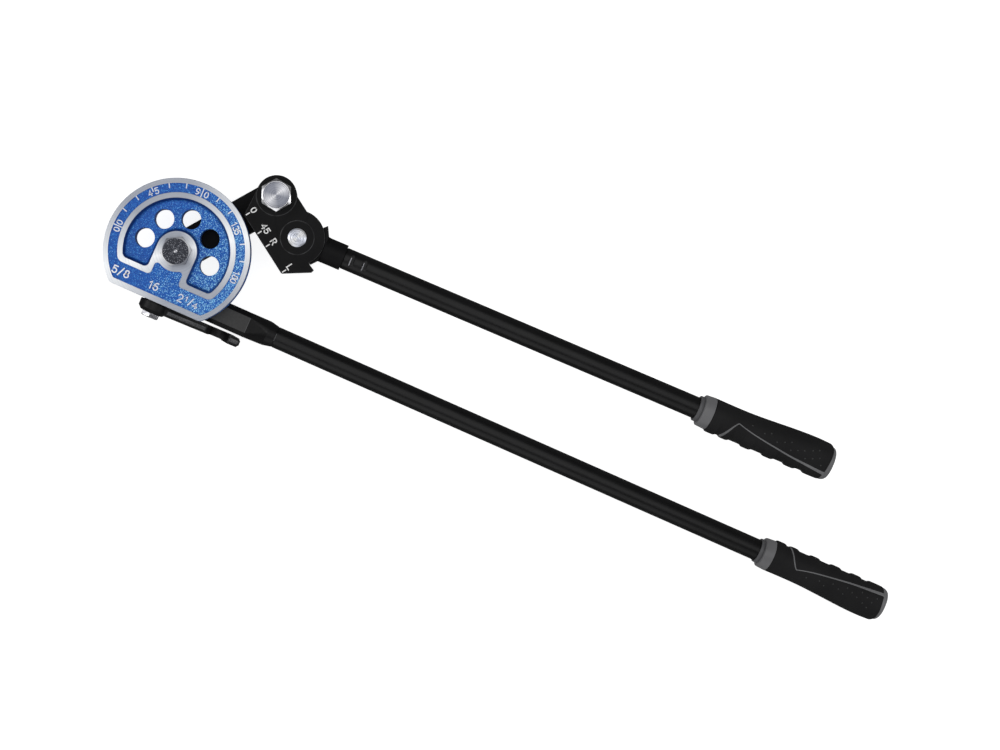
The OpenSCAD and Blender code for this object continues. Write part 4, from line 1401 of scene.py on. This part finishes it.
@dataclass
class HandleGrip:
    """Moulded grip: grey collar and cap, black sleeve with bumps and palm swell, inlaid line and nubs."""

    name: str
    body: Body
    front: tuple[float, float, float]
    angle: float
    side: float
    scale: float
    line_start: float
    sleeve: tuple[float, float] = (11.7, 106.5)
    length: float = 111.5
    bore: float = 8.52
    body_r: float = 12.95
    bump: float = 1.15
    bumps: tuple[tuple[float, float], ...] = (
        (12.0, 20.2),
        (24.0, 31.2),
        (42.2, 50.0),
        (60.4, 68.8),
        (78.4, 87.0),
        (94.0, 112.0),
    )
    palm: tuple[tuple[float, float], ...] = (
        (0.0, 13.05),
        (46.0, 13.05),
        (60.0, 13.9),
        (78.0, 15.1),
        (91.0, 15.65),
        (98.0, 15.65),
        (106.5, 15.25),
        (116.0, 14.6),
    )
    inlay: tuple[tuple[float, float], ...] = (
        (23.6, 13.2),
        (26.2, 8.6),
        (29.4, 2.4),
        (31.8, -1.0),
        (32.3, -1.5),
        (33.0, -1.3),
        (37.0, -0.2),
        (45.0, 1.6),
        (56.0, 3.4),
        (67.0, 4.9),
        (79.0, 6.4),
        (91.0, 7.4),
        (101.0, 8.2),
        (107.2, 8.6),
    )
    nubs: tuple[tuple[float, float], ...] = (
        (42.5, -4.2),
        (53.1, -2.2),
        (58.0, -4.25),
        (64.2, 0.2),
        (69.7, -2.0),
        (74.6, -4.1),
        (76.2, 1.9),
        (81.1, -0.1),
        (86.0, -2.0),
        (92.0, -4.5),
        (96.7, -6.6),
        (88.7, 3.4),
        (94.0, 1.2),
        (98.9, -1.1),
        (101.9, 3.6),
    )

    def reach(self, t: np.ndarray, lean: np.ndarray) -> np.ndarray:
        """Radius of the sleeve: a round body, plus bumps by a power of the cosine, plus the palm's swell.

        Args:
            t: Distance from the grip's front.
            lean: Angle round the grip in radians, 0 towards the fingers and a quarter turn at the top.

        Returns:
            Radius at each place.
        """
        rise = sum(0.5 * (np.tanh((t - a) / 0.8) - np.tanh((t - b) / 0.8)) for a, b in self.bumps)
        fingers = np.clip((np.cos(lean) - 0.12) / 0.88, 0.0, 1.0) ** 1.3
        knots = smooth_path(list(self.palm), 240)
        swell = np.interp(t, knots[:, 0], knots[:, 1]) - self.body_r
        palm = np.clip(-np.cos(lean), 0.0, 1.0) ** 1.2
        crown = 0.35 * np.clip(swell, 0.0, 3.0) * np.sin(lean) ** 2
        tail = np.clip((t - 100.0) / 11.0, 0.0, 1.0) ** 2 * 0.5 * np.clip(np.cos(lean), 0.0, 1.0)
        return self.body_r + self.bump * rise * fingers + swell * palm + crown - tail

    def to_frame(self, t: np.ndarray, across: np.ndarray, up: np.ndarray) -> np.ndarray:
        """Put grip coordinates into the frame: scaled, fingers to one side, along the handle's line."""
        c, s = np.cos(np.radians(self.angle)), np.sin(np.radians(self.angle))
        along, lateral = t * self.scale, across * self.side * self.scale
        return np.stack(
            [
                self.front[0] + along * c - lateral * s,
                self.front[1] + along * s + lateral * c,
                self.front[2] + up * self.scale,
            ],
            axis=-1,
        )

    def lean_at(self, t: np.ndarray, across: np.ndarray) -> np.ndarray:
        """Angle round the grip at which its upper surface is a given distance to the side, in five steps."""
        lean = np.full(np.shape(t), np.pi / 2)
        for _ in range(5):
            lean = np.arccos(np.clip(across / self.reach(t, lean), -0.999, 0.999))
        return lean

    def wrap(self, shell: Shell, t: np.ndarray, radius: np.ndarray, finish: int = 0) -> None:
        """Add a band round the grip's axis from distances t and radii of rows round the axis."""
        lean = np.linspace(0.0, 2 * np.pi, len(radius), endpoint=False)[:, None]
        spread = np.broadcast_to(t, radius.shape)
        shell.grid(self.to_frame(spread, radius * np.cos(lean), radius * np.sin(lean)), finish=finish)

    def tail(self, lean: np.ndarray) -> tuple[np.ndarray, np.ndarray]:
        """End of the sleeve round the grip, which reaches further and rounds over more on the palm's side.

        Args:
            lean: Angle round the grip in radians.

        Returns:
            Distance of the end from the grip's front, and how far the sleeve draws in there.
        """
        palm = (1.0 - np.cos(lean)) / 2
        return self.sleeve[1] + 2.4 * palm, 0.4 + 1.3 * palm

    def build_sleeve(self, finish: bpy.types.Material) -> None:
        """Make the rubber sleeve, with a round lip at its front and a rounded end."""
        count = 128
        lean = np.linspace(0.0, 2 * np.pi, count, endpoint=False)[:, None]
        end, drawn = self.tail(lean)
        t = self.sleeve[0] + (end - self.sleeve[0]) * np.linspace(0.0, 1.0, 281)[None, :]
        lip = np.clip(1.0 - (t - self.sleeve[0]) / 0.8, 0.0, 1.0)
        close = np.clip(1.0 - (end - t) / (2.0 * drawn), 0.0, 1.0)
        radius = self.reach(t, lean) - 0.5 * lip**2 - drawn * close**2
        bore = np.full((count, 1), self.bore / self.scale)
        whole = np.concatenate([bore, radius, bore], axis=1)
        ends = np.concatenate([t[:, :1], t, t[:, -1:]], axis=1)
        shell = Shell()
        self.wrap(shell, ends, whole)
        node = f"{self.name}_sleeve"
        shell.build(f"{node}_skin", [finish], self.body, Slot.RUBBER, (node,), 50.0)

    def build_collar(self, finish: bpy.types.Material, ring: bpy.types.Material) -> None:
        """Make the grey collar and the darker thin ring before it."""
        bore = self.bore / self.scale
        front = round_edges([(3.2, bore), (0.0, bore), (0.0, 10.2), (3.1, 10.2), (3.25, 9.6)], 0.5)
        body = round_edges([(3.25, 9.6), (3.6, 12.4), (11.6, 13.0), (11.7, 12.4), (11.7, bore)], 0.7)
        shell = Shell()
        for mark, profile in ((1, front), (0, body)):
            self.wrap(shell, profile[:, 0], np.broadcast_to(profile[:, 1], (96, len(profile))), mark)
        node = f"{self.name}_collar"
        shell.build(f"{node}_skin", [finish, ring], self.body, Slot.PLASTIC, (node,), 40.0)

    def build_cap(self, finish: bpy.types.Material) -> None:
        """Make the end cap: the sleeve's end outline drawn in along a quarter ellipse to a dished end."""
        count = 128
        lean = np.linspace(0.0, 2 * np.pi, count, endpoint=False)[:, None]
        turn = np.linspace(0.0, np.pi / 2, 10)[None, :]
        start, drawn = self.tail(lean)
        t = start + (self.length - start) * np.sin(turn)
        edge = self.reach(start, lean) - drawn + 0.05
        radius = edge * (1.0 - 0.2 * (1.0 - np.cos(turn)))
        dish = np.array([[0.72, 0.6, 0.3, 0.0]])
        radius = np.concatenate([0.5 * edge, radius, edge * 0.98 * dish], axis=1)
        tail = self.length - np.array([[0.0, 0.25, 0.35, 0.35]])
        t = np.concatenate([start - 0.2, t, np.broadcast_to(tail, (count, 4))], axis=1)
        shell = Shell()
        self.wrap(shell, t, radius)
        shell.build(f"{self.name}_cap_skin", [finish], self.body, Slot.PLASTIC, (f"{self.name}_cap",), 40.0)

    def build_inlay(self, finish: bpy.types.Material) -> None:
        """Make the grey line inlaid in the sleeve's upper and lower face: a flat bead along its path."""
        path = smooth_path(list(self.inlay), 160)
        share = np.linspace(0.0, 1.0, len(path))
        width = np.interp(path[:, 0], [23.6, 31.0, 34.0, 80.0, 108.0], [self.line_start, 0.95, 0.8, 1.4, 2.6])
        width *= np.where(share == 0.0, 0.4, 1.0)
        ahead = np.gradient(path, axis=0)
        ahead /= np.linalg.norm(ahead, axis=1)[:, None]
        side = np.stack([-ahead[:, 1], ahead[:, 0]], axis=1)
        shift = np.array([-0.5, -0.42, -0.15, 0.15, 0.42, 0.5, 0.3, -0.3])
        lift = np.array([-0.12, 0.1, 0.16, 0.16, 0.1, -0.12, -0.5, -0.5])
        spots = path[:, None, :] + side[:, None, :] * (width[:, None] * shift[None, :])[:, :, None]
        t, across = spots[..., 0], np.clip(spots[..., 1], -12.6, 13.3)
        lean = self.lean_at(t, across)
        radius = self.reach(t, lean) + lift
        shell = Shell()
        for face in (1.0, -1.0):
            grid = self.to_frame(t, radius * np.cos(lean), face * radius * np.sin(lean))
            tips = np.broadcast_to(grid[[0, -1]].mean(axis=1, keepdims=True), (2, 8, 3))
            shell.grid(np.concatenate([tips[:1], grid, tips[1:]]), close=False, across=True)
        shell.build(f"{self.name}_inlay", [finish], self.body, Slot.PLASTIC, (), 50.0)

    def build_nubs(self, finish: bpy.types.Material) -> None:
        """Make the small round nubs on both faces: low domes standing on the sleeve's surface."""
        spots = np.asarray(self.nubs)
        ring = np.array([1.0, 0.85, 0.5, 0.0])
        rise = np.array([-0.1, 0.16, 0.26, 0.3])
        turn = np.linspace(0.0, 2 * np.pi, 14, endpoint=False)[:, None]
        shell = Shell()
        for t0, p0 in spots:
            t = t0 + 0.68 * ring * np.cos(turn)
            across = p0 + 0.68 * ring * np.sin(turn)
            lean = self.lean_at(t, across)
            radius = self.reach(t, lean) + rise
            for face in (1.0, -1.0):
                shell.grid(self.to_frame(t, radius * np.cos(lean), face * radius * np.sin(lean)))
        shell.build(f"{self.name}_nubs", [finish], self.body, Slot.RUBBER, (), 60.0)

    def build(self, finishes: Finishes) -> None:
        """Make the whole grip."""
        self.build_sleeve(finishes.rubber)
        self.build_collar(finishes.plastic, finishes.ring)
        self.build_cap(finishes.plastic)
        self.build_inlay(finishes.plastic)
        self.build_nubs(finishes.nub)


@dataclass
class ShoeParts:
    """Rivet with turned rings and the white marks on the shoe's face."""

    bolt: tuple[float, float] = SHOE_BOLT
    shoe_angle: float = -33.8
    face_z: float = 56.0
    edge_v: float = -29.0
    rivet: tuple[float, float] = RIVET
    marks: tuple[tuple[str, float], ...] = (("0", 0.1), ("45", 16.9), ("R", 28.7), ("L", 51.9))

    def build_rivet(self, finish: bpy.types.Material) -> None:
        """Make the rivet: a turned head with three rings left by the setting tool, and its foot."""
        z = self.face_z + 0.5
        ring = np.linspace(0.0, 1.0, 60)
        wave = 0.14 * np.cos(ring * 2 * np.pi * 3.6) * (1 - ring**6)
        head = np.stack([z + 1.45 + wave - 0.5 * ring**8, 6.6 * ring], axis=1)
        side = [(z + 0.55, 7.15), (z, 7.2), (z, 5.5), (33.0, 5.5), (33.0, 7.2), (32.45, 6.6), (32.4, 0.0)]
        profile = np.concatenate([head, np.array(side)])
        grid = turned(profile, 96) + np.array([self.rivet[0], self.rivet[1], 0.0])
        shell = Shell()
        shell.grid(grid)
        shell.build("rivet_set", [finish], Body.SHOE, Slot.ZINC, ("yoke_rivet",), 40.0)

    def build_marks(self, finish: bpy.types.Material) -> None:
        """Make the painted marks: a tick from the grooved edge inwards and a figure beyond each."""
        c, s = np.cos(np.radians(self.shoe_angle)), np.sin(np.radians(self.shoe_angle))
        spin = np.array([[c, s], [-s, c]])
        origin = np.asarray(self.bolt)
        levels = (self.face_z - 0.1, self.face_z + 0.12)
        shell = Shell()
        for text, u in self.marks:
            tick = np.array([[u, self.edge_v + 1.6], [u, self.edge_v + 4.2]]) @ spin + origin
            Lettering.raise_stroke(shell, tick, 1.1, *levels)
            middle = np.array([u, self.edge_v + 8.3]) @ spin + origin
            Lettering.write(shell, text, tuple(middle), self.shoe_angle, (3.0, 4.4), 1.2, 1.05, levels)
        shell.build("shoe_marks", [finish], Body.SHOE, Slot.BLACK)

    def build(self, finishes: Finishes) -> None:
        """Make the rivet and the marks."""
        self.build_rivet(finishes.rivet)
        self.build_marks(finishes.paint_white)


@dataclass
class ShankFace:
    """Ground top face of the shank, with a painted highlight line across its end and one on the tube's front
    edge.
    """

    axis: tuple[float, float] = LONG_AXIS
    flat_start: float = 40.0
    flat_end: float = 71.95
    flat_z: float = 32.0
    half: float = 6.25
    tube_end: float = 94.7
    tube_r: float = 8.5

    def build(self, face: bpy.types.Material, worn: bpy.types.Material) -> None:
        """Make a thin plate on the flat, a low strip across its end and one over the top of the tube.

        Args:
            face: Material of the ground face.
            worn: Material of the two painted highlight lines.
        """
        y, z = self.axis
        low, high = self.flat_z - 0.1, self.flat_z + 0.02
        shell = Shell()
        corners = [(self.flat_start, -self.half), (self.flat_end, -self.half), (self.flat_end, self.half)]
        plate = np.array(corners + [(self.flat_start, self.half)]) + np.array([0.0, y])
        shell.rings([at_level(plate, low), at_level(plate, high)])
        shell.region(plate, [], high)
        shell.region(plate, [], low)
        # Painted highlight line across the flat's end.
        path = np.array([(self.flat_end - 0.3, y - 5.8), (self.flat_end - 0.3, y + 6.0)])
        Lettering.raise_stroke(shell, path, 0.42, low, high + 0.05, 1)
        # Painted highlight over the tube's front edge.
        turn, part = np.meshgrid(np.radians(np.linspace(70.0, 112.0, 24)), np.arange(4), indexing="ij")
        radius = self.tube_r + np.array([-0.2, 0.07, 0.07, -0.2])[part]
        x = self.tube_end + np.array([0.0, 0.1, 0.4, 0.5])[part]
        strip = np.stack([x, y + radius * np.cos(turn), z + radius * np.sin(turn)], axis=2)
        ends = [np.broadcast_to(strip[k].mean(axis=0), (1, 4, 3)) for k in (0, -1)]
        shell.grid(np.concatenate([ends[0], strip, ends[1]]), close=False, across=True, finish=1)
        shell.build("shank_face", [face, worn], Body.FORM, Slot.BLACK)


@dataclass
class LatchFace:
    """Lighter strips on the latch's upper edge, a painted highlight where its top catches the light, one along
    its arm and one on its end block.
    """

    bolt_z: float = MID_Z
    droop: float = 22.0
    strips: tuple[tuple[float, float, float, float, float, float], ...] = (
        (11.0, 9.02, 42.0, 6.25, -46.3, 3.6),
        (68.2, 4.0, 71.6, 4.0, -46.7, 4.0),
    )

    def build(self, finish: bpy.types.Material) -> None:
        """Make each strip from its two ends, given along and above the arm, its middle in Y and its width.

        An end is turned about the bolt by the droop, and the strip is a raised stroke in X and Y whose level
        rises evenly from the one end to the other.

        Args:
            finish: Material of the painted highlight strips.
        """
        c, s = np.cos(np.radians(self.droop)), np.sin(np.radians(self.droop))
        shell = Shell()
        for along_0, up_0, along_1, up_1, middle, width in self.strips:
            along, up = np.array([along_0, along_1]), np.array([up_0, up_1])
            x = along * c + up * s
            z = self.bolt_z - along * s + up * c
            # Each strip is a painted highlight, lighter than the forged steel round it.
            Lettering.raise_stroke(shell, np.stack([x, np.full(2, middle)], axis=1), width, -0.15, 0.04)
            points = shell.points[-1]
            points[:, 2] += z[0] + (points[:, 0] - x[0]) * (z[1] - z[0]) / (x[1] - x[0])
        shell.build("latch_face", [finish], Body.LATCH, Slot.BLACK)


@dataclass
class BrokenEdges:
    """Forged or turned piece that keeps its CAD shape, with its sharp edges broken by a narrow worn bevel."""

    node: str
    body: Body
    slot: Slot
    width: float = 0.35
    angle: float = 38.0

    def build(self, finish: bpy.types.Material, worn: bpy.types.Material) -> None:
        """Copy the node, merge its loose triangles, join those in one plane and bevel what stays sharp.

        Args:
            finish: Material of the faces.
            worn: Material of the bevels.
        """
        work = bmesh.new()
        work.from_mesh(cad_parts[self.node].data)
        bmesh.ops.remove_doubles(work, verts=work.verts, dist=5e-6)
        flat = float(np.radians(0.4))
        bmesh.ops.dissolve_limit(work, angle_limit=flat, verts=work.verts, edges=work.edges)
        mesh = bpy.data.meshes.new(f"{self.node}_shape")
        work.to_mesh(mesh)
        work.free()
        mesh.materials.clear()
        for material in (finish, worn):
            mesh.materials.append(material)
        count = len(mesh.polygons)
        mesh.polygons.foreach_set("material_index", np.zeros(count, np.int32))
        mesh.polygons.foreach_set("use_smooth", np.ones(count, bool))
        mesh.set_sharp_from_angle(angle=float(np.radians(self.angle)))
        piece = bpy.data.objects.new(f"{self.node}_shape", mesh)
        bpy.context.scene.collection.objects.link(piece)
        bevel = piece.modifiers.new("broken_edges", "BEVEL")
        bevel.width = self.width * MM
        bevel.segments = 2
        bevel.limit_method = "ANGLE"
        bevel.angle_limit = float(np.radians(self.angle))
        bevel.material = 1
        bevel.use_clamp_overlap = False
        bevel.harden_normals = True
        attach(piece, self.body.value)
        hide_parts(self.node)
        LOG.info("piece %s: %d faces before its bevel, on %s", piece.name, count, self.body.value)


@dataclass
class Studio:
    """White floor, soft lights and the camera of the photograph, which looks straight down."""

    camera_xy: tuple[float, float] = (120.0, 15.0)
    camera_z: float = 1407.0
    roll: float = 23.85
    lens: float = 63.6
    shift: tuple[float, float] = (0.172, -0.078)
    lights: tuple[tuple[tuple[float, float, float], float, float], ...] = field(
        default_factory=lambda: (
            ((0.1, 0.3, 2.0), 2.1, 19.0),
            ((-1.3, -0.4, 1.05), 0.9, 9.0),
            ((1.55, 0.35, 1.0), 0.6, 5.0),
            ((0.3, -1.4, 0.85), 1.3, 6.0),
        )
    )

    def build_floor(self, finish: bpy.types.Material) -> None:
        """Make the floor: a wide grid with its rim curling up a little, just below what the tool rests on."""
        span = np.linspace(-2.6, 2.6, 41)
        x, y = np.meshgrid(span + 0.25, span, indexing="ij")
        rise = np.maximum(np.hypot(x - 0.25, y) - 2.2, 0.0) ** 2 * 0.5
        points = np.stack([x, y, rise - 0.0004], axis=2).reshape(-1, 3)
        i, j = np.meshgrid(np.arange(40), np.arange(40), indexing="ij")
        quads = np.stack([i * 41 + j, (i + 1) * 41 + j, (i + 1) * 41 + j + 1, i * 41 + j + 1], axis=2)
        mesh = bpy.data.meshes.new("floor")
        mesh.from_pydata(points.tolist(), [], quads.reshape(-1, 4).tolist())
        mesh.materials.append(finish)
        floor = bpy.data.objects.new("floor", mesh)
        floor.visible_glossy = False
        bpy.context.scene.collection.objects.link(floor)

    def build_lights(self) -> None:
        """Make the soft lights, aimed at the tool's middle, and the even light of the room."""
        aim = Vector((0.25, 0.0, 0.03))
        for number, (place, size, power) in enumerate(self.lights):
            data = bpy.data.lights.new(f"softbox_{number}", "AREA")
            data.energy = power
            data.size = size
            lamp = bpy.data.objects.new(f"softbox_{number}", data)
            lamp.location = place
            lamp.rotation_euler = (aim - Vector(place)).to_track_quat("-Z", "Y").to_euler()
            bpy.context.scene.collection.objects.link(lamp)
        world = bpy.data.worlds.new("studio_air")
        world.use_nodes = True
        world.node_tree.nodes["Background"].inputs["Color"].default_value = (1.0, 1.0, 1.0, 1.0)
        world.node_tree.nodes["Background"].inputs["Strength"].default_value = 0.1
        bpy.context.scene.world = world
        bpy.context.scene.view_settings.view_transform = "Standard"

    def build_camera(self) -> None:
        """Make the camera: straight down, rolled so that the long handle runs to the lower right."""
        c, s = np.cos(np.radians(self.roll)), np.sin(np.radians(self.roll))
        data = bpy.data.cameras.new("photo_camera")
        data.lens = self.lens
        data.sensor_width = 36.0
        data.sensor_fit = "HORIZONTAL"
        data.shift_x, data.shift_y = self.shift
        data.clip_end = 20.0
        camera = bpy.data.objects.new("photo_camera", data)
        right, up = Vector((c, s, 0.0)), Vector((-s, c, 0.0))
        turn = Matrix((right, up, Vector((0.0, 0.0, 1.0)))).transposed().to_4x4()
        place = Matrix.Translation((self.camera_xy[0] * MM, self.camera_xy[1] * MM, self.camera_z * MM))
        camera.matrix_world = place @ turn
        bpy.context.scene.collection.objects.link(camera)
        bpy.context.scene.camera = camera

    def build(self, finishes: Finishes) -> None:
        """Make floor, lights and camera."""
        self.build_camera()
        self.build_floor(finishes.paper)
        self.build_lights()


def on_short_handle(away: float) -> tuple[float, float, float]:
    """Place on the short handle's line, at a distance from its rivet.

    Args:
        away: Distance from the rivet along the handle.

    Returns:
        The place in the frame, in millimetres.
    """
    c, s = np.cos(np.radians(SHORT_ANGLE)), np.sin(np.radians(SHORT_ANGLE))
    return (RIVET[0] + away * c, RIVET[1] + away * s, MID_Z)


def main() -> None:
    """Build every sub-assembly in order."""
    logging.basicConfig(level=logging.INFO, format="%(message)s")
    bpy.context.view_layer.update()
    finishes = Finishes()
    Studio().build(finishes)
    FormWheel().build(finishes)
    centre = PivotBolt(
        "centre_bolt_turned",
        "centre_bolt",
        place=(0.0, 0.0),
        seat=57.0,
        across=21.0,
        corner=30.0,
        body=Body.FORM,
        slot=Slot.DARK,
        flat_share=0.497,
        dimple=0.5,
    )
    centre.build(finishes.speckled, finishes.corner)
    shoe_bolt = PivotBolt(
        "shoe_bolt_turned",
        "shoe_bolt",
        place=SHOE_BOLT,
        seat=57.1,
        across=22.0,
        corner=53.1,
        body=Body.LINK,
        slot=Slot.ZINC,
    )
    shoe_bolt.build(finishes.shoe_bolt, finishes.zinc)
    ShoeParts().build(finishes)
    long_tube = HandleTube(
        "long_tube", "long_handle_tube", start=(94.6, *LONG_AXIS), angle=0.0, length=517.6, body=Body.FORM
    )
    long_tube.build(finishes.tube, finishes.crimp_glint)
    short_tube = HandleTube(
        "short_tube",
        "short_handle_tube",
        start=on_short_handle(38.8),
        angle=SHORT_ANGLE,
        length=402.0,
        body=Body.SHORT,
        crimps=(6.6, 17.1),
    )
    short_tube.build(finishes.tube, finishes.crimp_glint)
    long_grip = HandleGrip(
        "long_grip",
        Body.FORM,
        front=(509.96, *LONG_AXIS),
        angle=0.0,
        side=1.0,
        scale=0.96,
        line_start=1.3,
    )
    long_grip.build(finishes)
    short_grip = HandleGrip(
        "short_grip",
        Body.SHORT,
        front=on_short_handle(334.3),
        angle=SHORT_ANGLE,
        side=-1.0,
        scale=1.0,
        line_start=2.4,
    )
    short_grip.build(finishes)
    ShankFace().build(finishes.ground, finishes.ring)
    LatchFace().build(finishes.latch)
    for node, body in (("link_arm", Body.LINK), ("forming_shoe", Body.SHOE)):
        BrokenEdges(node, body, Slot.BLACK).build(finishes.black, finishes.worn)
    for node, body in (("latch_bolt", Body.FORM), ("centre_nut", Body.FORM), ("shoe_nut", Body.LINK)):
        BrokenEdges(node, body, Slot.ZINC).build(finishes.latch_bolt, finishes.edge)
    plain = {
        "centre_washers": finishes.zinc,
        "handle_shank": finishes.forged,
        "handle_yoke": finishes.black,
        "latch_hook": finishes.forged,
        "shank_screws": finishes.speckled,
        "latch_spacer": finishes.forged,
        "link_bush": finishes.bronze,
        "shoe_washers": finishes.zinc,
    }
    for node, finish in plain.items():
        dress_node(node, finish)


if __name__ == "__main__":
    main()
